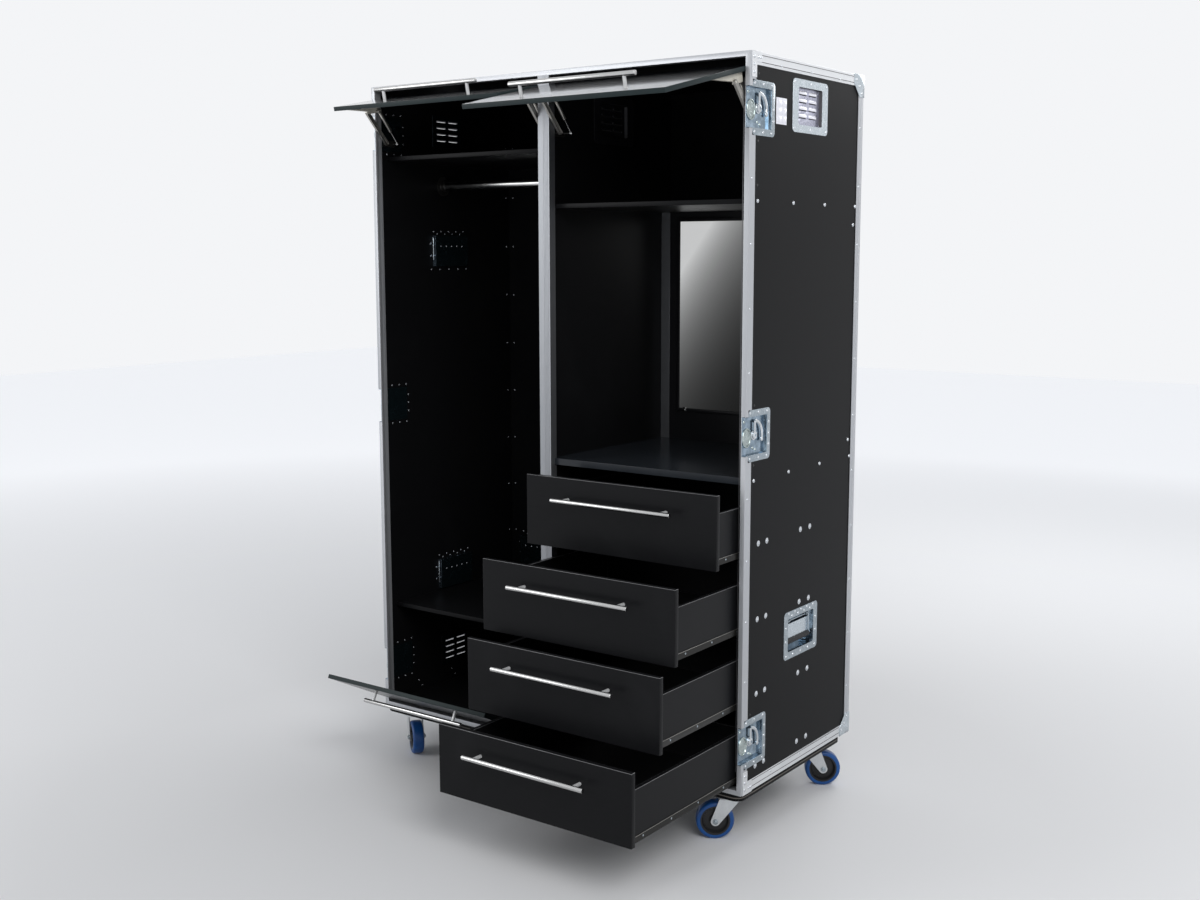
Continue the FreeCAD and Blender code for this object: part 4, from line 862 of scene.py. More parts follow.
def loose_parts(mesh: Mesh) -> list[list]:
    """Split a mesh into the parts that hang together.

    Args:
        mesh: The mesh.

    Returns:
        The vertices of each part.
    """
    seen: set = set()
    parts = []
    for start in mesh.verts:
        if start in seen:
            continue
        part = [start]
        seen.add(start)
        for vert in part:
            for edge in vert.link_edges:
                other = edge.other_vert(vert)
                if other not in seen:
                    seen.add(other)
                    part.append(other)
        parts.append(part)
    return parts


def middle_of(part: Sequence) -> Vector:
    """Mean place of some vertices."""
    return sum((vert.co for vert in part), Vector()) / len(part) / MM


def softened(node: str, width: float, keep: Choice = None, segments: int = 2) -> Mesh:
    """A copy of a node's mesh with its crisp edges rounded.

    Args:
        node: Name of the node.
        width: Width of the rounding.
        keep: Says by its middle whether a loose part of the node is copied.
        segments: Faces across the rounding.

    Returns:
        The mesh.
    """
    mesh = merged(node)
    bmesh.ops.dissolve_limit(mesh, angle_limit=math.radians(1.0), verts=mesh.verts, edges=mesh.edges)
    if keep:
        for part in loose_parts(mesh):
            if not keep(middle_of(part)):
                bmesh.ops.delete(mesh, geom=part, context="VERTS")
    if width:
        round_creases(mesh, width, 40, segments)
    return mesh


def soft_copy(name: str, node: str, width: float, finish: Finish, body: str = "case",
              keep: Choice = None, segments: int = 2, crisp: float = 32.0) -> bpy.types.Object:
    """Replace a node by its softened copy.

    Args:
        name: Name of the piece.
        node: Name of the node.
        width: Width of the rounding.
        finish: Finish of the piece.
        body: The body that it rides on.
        keep: Says by its middle whether a loose part of the node is copied.
        segments: Faces across the rounding.
        crisp: Edges turned by more degrees than this stay sharp.

    Returns:
        The object.
    """
    return add_piece(name, softened(node, width, keep, segments), body, finish, [node], crisp)


def dress(node: str, finish: Finish) -> None:
    """Give a node of the frame a finish.

    Args:
        node: Name of the node.
        finish: Its finish.
    """
    materials = frame["nodes"][node].data.materials
    if not len(materials):
        materials.append(finish.make())
    for index in range(len(materials)):
        materials[index] = finish.make()
    LOG.info("%s: finish %s", node, finish.name)


def latch_heights() -> list[float]:
    """Heights of the three latches on a side."""
    return [pivot_of(f"latch_right_{number}_turn").z for number in (1, 2, 3)]


# Case


@dataclass
class CaseShell:
    """Panels, profiles, corners and the rivets that hold them."""

    edge: float = 0.5
    pitch: float = 157.0
    corner: float = 70.0
    front_line: float = 15.0
    rivet: float = 3.4
    screw: float = 5.0
    sheet: float = 1.5
    proud: tuple[float, ...] = (1.0003, 1.0006, 1.0, 1.0)

    def build(self) -> None:
        """Dress the panels and profiles and set the rivets."""
        for node in ("side_panel_right", "side_panel_left", "top_panel", "bottom_panel", "back_panel",
                     "divider_panel"):
            dress(node, FILM)
        soft_copy("base_board_edged", "base_board", 1.2, FILM)
        soft_copy("shelves_edged", "shelves", 0.5, FILM)
        soft_copy("counter_edged", "counter", 1.0, COUNTER_GLOSS)
        soft_copy("closing_profile", "front_profile", self.edge, ALUMINIUM)
        angles = soft_copy("edge_angles", "edge_profiles", self.edge, LIT_ALUMINIUM_ACROSS)
        # The upright angles keep the plain aluminium; the flat flanges carry the lighter copy with its painted
        # highlight.
        line_pan(angles, ALUMINIUM, self._is_upright)
        soft_copy("divider_trim", "divider_profile", 0.3, DULL_ALUMINIUM, segments=1)
        soft_copy("corner_sheets", "corner_fittings", 0.3, PALE_ZINC, keep=lambda middle: middle.y > 0,
                  segments=1, crisp=40)
        self.braces()
        self.base_edge()
        self.edge_rivets()
        self.corner_rivets()
        self.wall_screws()
        self.inner_tails()
        self.ridges()

    def braces(self) -> None:
        """L-shaped braces over the four front corners, folded onto the top and the underside."""
        start, end, leg, reach = 8, 54, 23, 60
        side_legs = [(start, self.sheet), (start, -reach), (start + leg, -reach), (start + leg, -leg),
                     (end, -leg), (end, self.sheet)]
        fold_legs = [(start, 0), (start, reach), (start + leg, reach), (start + leg, leg), (end, leg), (end, 0)]
        pieces = []
        for side in Side:
            for up, level in ((1, CASE.roof), (-1, CASE.floor)):
                turns = (facing(side) @ Matrix.Diagonal((1, up, 1, 1)),
                         Matrix(((0, -side.value, 0, 0), (1, 0, 0, 0), (0, 0, up, 0), (0, 0, 0, 1))))
                for legs, turn in zip((side_legs, fold_legs), turns):
                    seat = at((side.value * CASE.half, CASE.front, level)) @ turn
                    pieces.append(moved(plate(legs, self.sheet, 0.4), seat))
        add_piece("front_braces", join(*pieces), "case", LIT_ALUMINIUM_ACROSS, ["corner_fittings"])

    def base_edge(self) -> None:
        """The pale ply in the edge of the black base board, as a thin band all round."""
        low, high = box("base_board")
        middle = (low + high) / 2
        band = softened("base_board", 0.0)
        cut_off(band, (0, 0, middle.z - 1.5), DOWN)
        cut_off(band, (0, 0, middle.z + 1.2), UP)
        band.transform(at(middle) @ Matrix.Diagonal(self.proud) @ at(-middle))
        add_piece("base_ply_edge", turned_out(band), "case", PLY_EDGE)

    @staticmethod
    def _is_upright(middle: Vector, normal: Vector) -> bool:
        """Whether a face of the edge profiles is on one of the two upright angles."""
        return 0.1 < (middle.z - CASE.floor) / (CASE.roof - CASE.floor) < 0.9

    def edge_rivets(self) -> None:
        """Rivet rows along every flange."""
        line, depth = CASE.rivet_line, CASE.back - CASE.front
        places = []
        for side in ENDS:
            near = side * (CASE.half - line)
            for z in spread(CASE.floor + self.corner, CASE.roof - self.corner, self.pitch):
                places += [CASE.on_side(side, self.front_line, z), CASE.on_side(side, depth - line, z),
                           ((near, CASE.back, z), ALONG_Y)]
            for y in (155, 314, 473):
                places += [CASE.on_side(side, y, CASE.floor + 21), CASE.on_side(side, y, CASE.roof - 21),
                           ((near, CASE.front + y, CASE.roof), UP)]
        for x in spread(-CASE.half + self.corner, CASE.half - self.corner, self.pitch):
            places += [((x, y, CASE.roof), UP) for y in (CASE.back - line, CASE.front + self.front_line)]
            places += [((x, CASE.back, z), ALONG_Y) for z in (CASE.floor + line, CASE.roof - line)]
        clear = [place for place in places if not self._under_dish(place)]
        add_piece("edge_rivets", rivets(clear, self.rivet), "case", RIVET_ZINC)

    @staticmethod
    def _under_dish(place: Place) -> bool:
        """Say whether a rivet of the front flange would lie under a latch dish.

        Args:
            place: Foot and direction of the rivet.

        Returns:
            True if it would.
        """
        foot, out = place
        if not out[0] or foot[1] > CASE.front + 20:
            return False
        return any(abs(foot[2] - height) < 75 for height in latch_heights())

    def corner_rivets(self) -> None:
        """Three rivets on each leg of the ball corners, and five on each leg of the front braces."""
        places = []
        for side in ENDS:
            for z, up in ((CASE.roof, 1), (CASE.floor, -1)):
                for out, inner in ((48, 14), (14, 48), (30, 30)):
                    x, y = side * (CASE.half - out), CASE.back - out
                    places += [((side * (CASE.half + self.sheet), y, z - up * inner), (side, 0, 0)),
                               ((x, CASE.back + self.sheet, z - up * inner), ALONG_Y)]
                    if up > 0:
                        places.append(((x, CASE.back - inner, z + self.sheet), UP))
                for y, drop in ((18, 12), (18, 30), (18, 48), (38, 12), (48, 12)):
                    places.append(CASE.on_side(side, y, z - up * drop, self.sheet))
                    if up > 0:
                        places.append(((side * (CASE.half - drop), CASE.front + y, z + self.sheet), UP))
        add_piece("corner_rivets", rivets(places, self.rivet + 0.9, 1.7, 12), "case", RIVET_ZINC)

    def wall_screws(self) -> None:
        """Bright bolts where shelves and runners are fixed, and small dark screws near the front."""
        rows = {1: ((1499.4, (47, 229, 401, 581)), (810.6, (46, 228, 402, 581)), (1449.6, (570.6,)),
                    (857.9, (569.8,))),
                -1: ((1649, (70, 240, 400, 581)), (310, (70, 240, 400, 581)), (1578, (268, 308)))}
        runner_bolts = [CASE.on_side(1, y, CASE.floor + z, -CASE.inset)
                        for z in (646.2, 449.0, 252.3, 59.5) for y in (75, 119, 300, 353)]
        bolts = [CASE.on_side(side, y, CASE.floor + z, -CASE.inset)
                 for side, lines in rows.items() for z, depths in lines for y in depths]
        screws = [CASE.on_side(side, 44, CASE.floor + z, -CASE.inset)
                  for side in rows for z in (1800.5, 1642.4, 1537.0, 1000.0, 850.0, 205.0)]
        add_piece("wall_bolts", rivets(bolts, self.screw, 2.6, 16), "case", RIVET_ZINC)
        add_piece("runner_bolts", join(rivets(runner_bolts, 7.6, 0.9, 20), rivets(runner_bolts, 5.2, 3.4, 16)),
                  "case", RIVET_ZINC)
        add_piece("wall_screws", rivets(screws, 3.2, 1.0, 12), "case", BLACK_PLASTIC)

    def inner_tails(self) -> None:
        """Tails of the rivets that show inside the left compartment, and its wall screws."""
        depth = CASE.back - CASE.front
        rear = CASE.back - CASE.skin
        places = []
        for z in spread(CASE.floor + self.corner, CASE.roof - self.corner, self.pitch):
            places += [CASE.in_left(depth - 25, z), ((CASE.skin - CASE.half + 15, rear, z), FORWARD)]
        places += [CASE.in_left(y, CASE.floor + CASE.skin + z)
                   for y, z in ((138, 32), (154, 12), (290, 33), (306, 13))]
        for height in latch_heights():
            places += [CASE.in_left(y, height + rise) for y in (48, 78, 108) for rise in (-57, 57)]
            places += [CASE.in_left(117, height + rise) for rise in (-25, 0, 25)]
        across = (-48, -24, 0, 24, 48)
        pan = CASE.inset + Dishes.grip_depth
        for name in ("left_lower", "left_upper"):
            middle = Dishes.dish_middle(name)
            places += [((CASE.skin - CASE.half, middle.y + along, middle.z + rise), ALONG_X)
                       for along, rise in Dishes.flange_spots()]
            places += [((pan - CASE.half, middle.y + along, middle.z + 14), ALONG_X) for along in across]
        middle = Dishes.dish_middle("back")
        places += [((middle.x + along, rear, middle.z + rise), FORWARD)
                   for along, rise in Dishes.flange_spots()]
        places += [((middle.x + along, CASE.back - pan, middle.z + 14), FORWARD) for along in across]
        add_piece("inner_rivet_tails", rivets(places, 3.0, 1.4), "case", RIVET_ZINC)

    @staticmethod
    def ridges() -> None:
        """Fine raised lines along the side flanges, and thin dark strips that paint the shadow of grooves along
        them and down the front posts.
        """
        strips, groove_shadows = [], []
        start, end = CASE.front + 56, CASE.back - 60
        foot, head = CASE.floor + 62, CASE.roof - 62
        for side in ENDS:
            wall = side * CASE.half
            near, far = sorted((wall, wall + side * 0.4))
            flat = sorted((wall, wall + side * 0.06))
            for edge, way in ((CASE.roof, -1), (CASE.floor, 1)):
                for offset in (8.5, 24.5):
                    z = edge + way * offset
                    strips.append(block((near, start, z - 1.2), (far, end, z + 1.0), 0.3, 1))
                    # Each dark strip beside a raised line is a painted groove shadow.
                    groove_shadows.append(block((flat[0], start, z + 1.0), (flat[1], end, z + 2.9)))
            for offset in (7.0, 11.0):
                y = CASE.back - offset
                strips.append(block((near, y - 0.6, foot), (far, y + 0.6, head), 0.25, 1))
            x = side * (CASE.half - 16)
            groove_shadows.append(block((x - 0.9, CASE.front - 0.06, foot), (x + 0.9, CASE.front, head)))
        add_piece("flange_ridges", join(*strips), "case", LIT_ALUMINIUM_ACROSS)
        add_piece("flange_grooves", join(*groove_shadows), "case", GROOVE_SHADE)


# Dishes


@dataclass
class Dishes:
    """Recessed dishes: vents, handles and latches, with their rivets and small parts."""

    sheet: float = 1.2
    rivet: float = 3.5
    line: float = 310.0
    vent_drop: float = 108.0
    vent_rise: float = 112.0
    vent_depth: float = 8.8
    column: float = 26.2
    pitch: float = 19.0
    grip_depth: float = 22.0
    divider_reach: float = 60.0

    def build(self) -> None:
        """Dress the dishes and add what is fixed in them."""
        self.pans()
        self.louvres()
        places = [CASE.on_side(side.value, y, height + rise, self.sheet - CASE.inset)
                  for side in Side for height in latch_heights() for y, rise in self.latch_spots()]
        for side, name in ((1, "right"), (-1, "left_lower"), (-1, "left_upper")):
            middle = self.dish_middle(name)
            depth = middle.y - CASE.front
            places += [CASE.on_side(side, depth + along, middle.z + rise, self.sheet - CASE.inset)
                       for along, rise in self.flange_spots()]
        middle = self.dish_middle("back")
        places += [((middle.x + along, CASE.back + self.sheet - CASE.inset, middle.z + rise), ALONG_Y)
                   for along, rise in self.flange_spots()]
        for side, height in ((1, CASE.roof - self.vent_drop), (-1, CASE.roof - self.vent_drop),
                             (-1, CASE.floor + self.vent_rise)):
            places += [CASE.on_side(side, self.line + along, height + rise, self.sheet - CASE.inset)
                       for along in (-86, 0, 86) for rise in (-57, 57)]
        add_piece("dish_rivets", rivets(places, self.rivet, 1.5, 12), "case", RIVET_ZINC)
        self.cover_plate()

    def pans(self) -> None:
        """Dress the dishes, their floors and their backs, with painted shade inside the recesses, on the backs
        and on the vent in the divider.
        """
        deep = CASE.half - CASE.inset - 0.3
        rear = CASE.back - 1.8
        latches = soft_copy("latch_pans", "latch_dishes", 0.4, ZINC)
        line_pan(latches, SHADED_PAN_ZINC, lambda middle, normal: abs(middle.x) < deep)
        grips = soft_copy("handle_pans", "handle_dishes", 0.4, ZINC)
        line_pan(grips, SHADED_PAN_ZINC, lambda middle, normal: abs(middle.x) < deep and middle.y < rear)
        sheets = softened("vent_dishes", 0.25, segments=1)
        for seat in self.vent_seats():
            back = seat.inverted()
            for vert in sheets.verts:
                spot = (back @ vert.co) / MM
                if abs(spot.x) < 51 and abs(spot.y) < 44 and 0.03 < spot.z < 6:
                    vert.co = seat @ metres((spot.x, spot.y, 0.02))
        vents = add_piece("vent_pans", sheets, "case", PALE_ZINC, ["vent_dishes"])
        line_pan(vents, VENT_ZINC, lambda middle, normal: abs(middle.x) < deep)
        line_pan(vents, SHADED_ZINC, lambda middle, normal: abs(middle.x) < deep
                 and (normal.z < -0.7 or normal.y < -0.7))
        for piece in (latches, grips, vents):
            # The backs that face into the case get the painted shade.
            line_pan(piece, DISH_BACK_SHADE, self._behind)
        line_pan(vents, SHADED_TIN, lambda middle, normal: abs(middle.x) < self.divider_reach)

    @staticmethod
    def _behind(middle: Vector, normal: Vector) -> bool:
        """Whether a dish's face is on its back, towards the inside of the case."""
        out = ALONG_Y if middle.y > CASE.back - 30 else (math.copysign(1, middle.x), 0, 0)
        return normal.dot(out) < -0.5

    def louvres(self) -> None:
        """Pressed hoods over the slots of the four vents, each with a black strip below that paints the shade
        in its mouth.
        """
        hoods, mouth_shadows, inner_hoods, cheeks = [], [], [], []
        for seat in self.vent_seats():
            inner = abs(seat.translation.x) < self.divider_reach * MM
            for column in (-self.column, self.column):
                for step in range(4):
                    spot = seat @ at((column, (step - 1.5) * self.pitch + 5.6, 0))
                    (inner_hoods if inner else hoods).append(moved(self.hood(), spot))
                    if inner:
                        continue
                    # A thin black strip in the mouth under the hood: painted shadow.
                    mouth_shadows.append(moved(block((-18.6, -4.1, 0.1), (18.6, -3.7, 3.2)), spot))
                    cheeks += [moved(block((-3.4, -6.4, 0.03), (3.4, 0.4, 0.3)), spot @ at((end * 21.6, 0, 0)))
                               for end in ENDS]
        # The outer hoods are far paler than the vent sheet they are pressed from: a painted highlight.
        for name, pieces, finish in (("vent_hoods", hoods, BRIGHT_TIN), ("vent_mouths", mouth_shadows, FRAME_BLACK),
                                     ("divider_vent_hoods", inner_hoods, SHADED_TIN),
                                     ("vent_slot_ends", cheeks, VENT_ZINC)):
            add_piece(name, join(*pieces), "case", finish)

    def vent_seats(self) -> list[Matrix]:
        """Find the four vents.

        Returns:
            The places of the middles of their floors, looking out.
        """
        face = CASE.half - CASE.inset
        high, low = CASE.roof - self.vent_drop, CASE.floor + self.vent_rise
        return [at((x - side.value * self.vent_depth, CASE.front + self.line, z)) @ facing(side)
                for side, x, z in ((Side.RIGHT, face, high), (Side.LEFT, -face, high),
                                   (Side.LEFT, -face, low), (Side.RIGHT, 12, high))]

    @staticmethod
    def hood() -> Mesh:
        """One louvre hood: highest at its mouth, falling to the sheet above.

        Returns:
            The mesh.
        """
        mesh = moved(plate(rounded_outline(20.4, 5.0, 4.4), 9, 2.8), at((0, 0, -4.8)))
        cut_off(mesh, (0, 0, 0), DOWN)
        cut_off(mesh, (0, -3.8, 0), FORWARD)
        for vert in mesh.verts:
            vert.co.z *= 0.75 - 0.25 * vert.co.y / (5 * MM)
        return mesh

    @staticmethod
    def dish_middle(name: str) -> Vector:
        """Middle of a handle dish, from its grip's hinge."""
        return pivot_of(f"grip_{name}_lift") - Vector((0, 0, 34.5))

    @staticmethod
    def latch_spots() -> list[tuple[float, float]]:
        """Three rivets above, three below and three behind a latch: depth, and height over the latch."""
        return [(y, rise) for rise in (57, -57) for y in (24, 66, 108)] + [(117, rise) for rise in (-28, 0, 28)]

    @staticmethod
    def flange_spots() -> list[tuple[float, float]]:
        """The rivets round a handle dish's flange.

        Returns:
            How far each is behind the dish's middle, and above it.
        """
        spots = [(along, 59) for along in (-68, -34, 0, 34, 68)]
        spots += [(along, 51.5) for along in (-51, -17, 17, 51)]
        spots += [(along, -56) for along in (-80, -42, 0, 42, 80)]
        return spots + [(side * 83, rise) for side in ENDS for rise in (-15, 22)]

    @staticmethod
    def cover_plate() -> None:
        """A bare riveted plate behind the upper right latch."""
        wall, front, floor = CASE.half - CASE.inset, CASE.front, CASE.floor
        places = [((wall + 1.0, front + y, floor + z), ALONG_X) for y in (137, 178) for z in (1695, 1747)]
        cells = []
        for row in range(3):
            for column in range(2):
                y, z = front + 134.5 + 25 * column, floor + 1693 + 19.5 * row
                cells.append(block((wall + 0.8, y, z), (wall + 1.6, y + 22, z + 15.5), 0.6))
        sheet = block((wall, front + 131, floor + 1689), (wall + 1.0, front + 184, floor + 1753), 0.3)
        add_piece("bare_plate", join(sheet, rivets(places, 2.4, 0.9), *cells), "case", BRIGHT_TIN)


@dataclass
class ButterflyLatch:
    """A recessed butterfly latch: a cam housing at the front, a bow lever with a knob, and a boss."""

    side: Side
    number: int
    reach: float = 36.0
    dip: float = 20.0
    lift: float = 5.6
    housing: float = 20.5

    def build(self) -> None:
        """Model the turning lever and the housing that stays."""
        name = f"latch_{self.side.name.lower()}_{self.number}"
        seat = at(pivot_of(f"{name}_turn")) @ facing(self.side)
        path = [(*ring_spot(self.reach, 90 - step * (90 + self.dip) / 22), self.lift) for step in range(23)]
        bow = sweep(path, 4.4, 16, 0.46)
        spoke = sweep([(0, y, self.lift) for y in (6, 20, 36.6)], 4.2, 16, 0.48)
        boss = lathe([(3.2, 3.4), (10, 3.4), (10.2, 6.2), (8.6, 7.6), (5, 8.2), (3.2, 8.2)], 40)
        disc = lathe([(3.2, 1.0), (13, 1.0), (13, 2.6), (11.5, 3.4), (3.2, 3.4)], 40)
        knob = lathe([(0, 3.6), (5.2, 3.6), (6, 4.4), (6, 6.6), (5, 7.7), (2.5, 8.3), (0, 8.4)], 32)
        knob.transform(at((*path[-1][:2], 0)))
        add_piece(f"{name}_bow", moved(join(bow, spoke, boss, disc, knob), seat), name, LEVER_STEEL, [name],
                  crisp=40)
        self.cam_housing(name, seat)

    def cam_housing(self, name: str, seat: Matrix) -> None:
        """The low round housing at the pan's open side, with a groove round its crown, and rivets.

        Args:
            name: Name of the latch.
            seat: Place of the latch.
        """
        rim = self.housing
        rings = [(0, 0.05), (0, 2.2), (0.9, 3.1), (2.4, 3.2), (3.4, 1.0), (5.0, 1.3), (6.8, 3.0), (8.6, 3.2),
                 (9.8, 1.8), (11.2, 1.9), (13.2, 3.0), (15.2, 3.2), (16.4, 2.2), (18.2, 2.9), (20.4, 3.3)]
        cap = lathe([(0, 0.05), *((rim - step, rise) for step, rise in rings), (0, 3.3)], 56)
        cap.transform(at((rim - 53.4, -5, 0)) @ Matrix.Diagonal((1, 1.22, 1, 1)))
        studs = rivets([((-45, 36, 0), UP), ((-1, -33, 0), UP), ((11, -38, 0), UP)], 4.2, 2.2, 14)
        add_piece(f"{name}_housing", moved(join(cap, studs), seat), "case", HOUSING_ZINC, crisp=60)


@dataclass
class SprungGrip:
    """A handle that folds into its dish: rubber bar, steel arms, springs and a hanging plate."""

    name: str
    axis_x: bool = False
    drop: float = 56.0
    half: float = 66.5
    coil: float = 4.2

    def build(self) -> None:
        """Model the grip hanging from its pins."""
        body = f"grip_{self.name}"
        pivot = pivot_of(f"{body}_lift")
        low, high = box(body)
        along = Vector(ALONG_X if self.axis_x else ALONG_Y)
        out = Vector(ALONG_Y if self.axis_x else (math.copysign(1, pivot.x), 0, 0))
        bar = pivot - Vector((0, 0, self.drop))
        rubber = rod(bar - along * self.half * 0.94, bar + along * self.half * 0.94, 7.8, 2.2, 40)
        rings = [moved(lathe([(7.9, -1), (8.2, 0), (7.9, 1), (6, 0)], 32),
                       at(bar + along * step * 16) @ pointed(along)) for step in range(-3, 4)]
        add_piece(f"{body}_rubber", join(rubber, *rings), body, GRIP_RUBBER, [body])
        reach = (high - low).dot(along) / 2 - 2.5
        turned = Matrix.Identity(4) if self.axis_x else Matrix.Rotation(math.pi / 2, 4, "Z")
        arms = []
        for side in ENDS:
            foot, head = (spot + along * side * (reach - 2) for spot in (bar, pivot))
            arms += [moved(block((-5.5, -1.8, -6), (5.5, 1.8, self.drop + 6), 1.2, 3), at(foot) @ turned),
                     rod(head, head + along * side * 4.4, 3.0, 0, 20)]
        arms.append(rod(bar - along * reach, bar + along * reach, 3.4, 0, 20))
        ends = [pivot + along * side * (reach - 8) + out * side * 0.6 - Vector((0, 0, drop))
                for side, drop in ((-1, self.drop - 7), (1, 9))]
        studs = [(pivot + along * step + out * 0.6 - Vector((0, 0, 15)), out) for step in (-40, -20, 0, 20, 40)]
        arms += [block(list(map(min, *ends)), list(map(max, *ends)), 0.4), rivets(studs, 2.6, 1.0)]
        add_piece(f"{body}_arms", join(*arms), body, PALE_ZINC, [body])
        self.springs(pivot, along)

    def springs(self, pivot: Vector, along: Vector) -> None:
        """Coil springs round the pins, and the pin itself.

        Args:
            pivot: Middle of the pin.
            along: Unit vector along the pin.
        """
        outward = Vector(JOINTS[f"grip_{self.name}_lift"]["axis"]).cross(Vector(DOWN))
        coils = []
        for side in ENDS:
            path = []
            for step in range(61):
                across, up = ring_spot(self.coil, 36 * step)
                path.append(pivot + along * side * (58 - step * 0.22) + outward * across + Vector((0, 0, up)))
            coils.append(sweep(path, 0.8, 6))
        coils.append(rod(pivot - along * 70, pivot + along * 70, 2.2, 0, 16))
        add_piece(f"grip_{self.name}_springs", join(*coils), "case", ZINC)


# Handles, drawers, flaps


@dataclass
class BarHandle:
    """A round bar on two posts.

    Attributes:
        centre: Middle of the bar.
        away: Unit vector from the board to the bar.
    """

    centre: Vector
    away: Vector
    length: float = 370.0
    radius: float = 6.0
    spacing: float = 306.0
    post: float = 4.5
    standoff: float = 32.0

    def build(self, name: str, body: str) -> None:
        """Model the handle, and give its posts their own, duller and brighter finish.

        Args:
            name: Name of the piece.
            body: The body that it rides on.
        """
        half, gap = (Vector((span / 2, 0, 0)) for span in (self.length, self.spacing))
        posts = [rod(foot - self.away * self.standoff, foot, self.post, 0.0, 28)
                 for foot in (self.centre - gap, self.centre + gap)]
        bar = rod(self.centre - half, self.centre + half, self.radius, 0.8, 40)
        piece = add_piece(name, join(bar, *posts), body, STAINLESS, [f"{body}_fittings"])
        line_pan(piece, POST_STEEL,
                 lambda middle, normal: (middle - self.centre).dot(self.away) < -self.radius * 0.9)


@dataclass
class Drawer:
    """A drawer: front board, tray, bar handle and runner strips."""

    number: int

    def build(self) -> None:
        """Dress one drawer."""
        body = f"drawer_{self.number}"
        fittings = f"{body}_fittings"
        bottom, top = box(f"{body}_box")
        boards = soft_copy(f"{body}_boards", f"{body}_box", 0.9, DRAWER_BOARD, body)
        # The upward-facing rounded edges of the upper half get the painted highlight.
        line_pan(boards, EDGE_HIGHLIGHT,
                 lambda middle, normal: 0.2 < normal.z < 0.95 and middle.z > (bottom.z + top.z) / 2)
        low, high = box(fittings)
        centre = Vector(((low.x + high.x) / 2, bottom.y - BarHandle.standoff, high.z - 6))
        BarHandle(centre, Vector(FORWARD)).build(f"{body}_bar", body)
        soft_copy(f"{body}_strips", fittings, 0.15, SHADED_RUNNER_STEEL, body,
                  lambda middle: abs(middle.x - centre.x) > 200, 1)
        screws = [((x, bottom.y + y, low.z + 9), (way, 0, 0))
                  for x, way in ((low.x + 4.9, -1), (high.x - 4.9, 1)) for y in (60, 180, 300, 420)]
        add_piece(f"{body}_screws", rivets(screws, 2.8, 0.8, 12), body, ZINC)
        z = low.z + 16
        lips = [block((x - 0.4, bottom.y + 27, z - 0.9), (x + 0.4, bottom.y + 545, z + 0.2), 0.1, 1)
                for x in (low.x + 5.0, high.x - 5.0)]
        add_piece(f"{body}_runner_lips", join(*lips), body, STAY_STEEL)


@dataclass
class Flap:
    """A board on end pins with a bar handle; a lifting one also carries brackets."""

    name: str
    lifting: bool

    def build(self) -> None:
        """Dress the board and its handle."""
        board = soft_copy(f"{self.name}_board", self.name, 0.6, FLAP_FILM if self.lifting else DROP_FILM,
                          self.name)
        broad = max(board.data.polygons, key=lambda face: face.area).normal.copy()
        line_pan(board, EDGE_BAND, lambda middle, normal: abs(normal.dot(broad)) < 0.6)
        fittings = f"{self.name}_fittings"
        low, high = box(fittings)
        middle = (low.x + high.x) / 2
        away = self.outward()
        BarHandle(self.bar_middle(fittings, middle, away), away).build(f"{self.name}_bar", self.name)
        soft_copy(f"{self.name}_brackets", fittings, 0.2, CREAM if self.lifting else ZINC, self.name,
                  lambda place: abs(place.x - middle) > 200, 1)

    @staticmethod
    def bar_middle(fittings: str, middle: float, away: Vector) -> Vector:
        """Middle of the handle's bar, from the fitting nearest the flap's own middle.

        Args:
            fittings: The node that holds the handle.
            middle: The flap's middle along its width.
            away: Unit vector out of the flap's outer face.

        Returns:
            The middle of the points that lie furthest out.
        """
        mesh = merged(fittings)
        handle = min(loose_parts(mesh), key=lambda part: abs(middle_of(part).x - middle))
        points = [vert.co / MM for vert in handle]
        mesh.free()
        reach = max(point.dot(away) for point in points)
        bar = [point for point in points if point.dot(away) > reach - 11.9]
        return Vector([(min(line) + max(line)) / 2 for line in zip(*bar)])

    def outward(self) -> Vector:
        """Unit vector out of the flap's outer face at rest."""
        angle = math.radians(-JOINTS[f"{self.name}_hinge"]["range_deg"][0])
        return Vector((0, -math.cos(angle), math.sin(angle) if self.lifting else -math.sin(angle)))


@dataclass
class Stay:
    """The two members at each end of a lifting flap."""

    name: str

    def build(self) -> None:
        """Dress the channel arms and the gas struts."""
        arms = f"stay_arms_{self.name}"
        soft_copy(f"{arms}_steel", arms, 0.3, STAY_STEEL, arms, segments=1)
        for node, finish in ((f"strut_cylinders_{self.name}", STAY_STEEL),
                             (f"strut_rods_{self.name}", STAINLESS)):
            add_piece(f"{node}_turned", merged(node), node, finish, [node], crisp=35)


# Interior


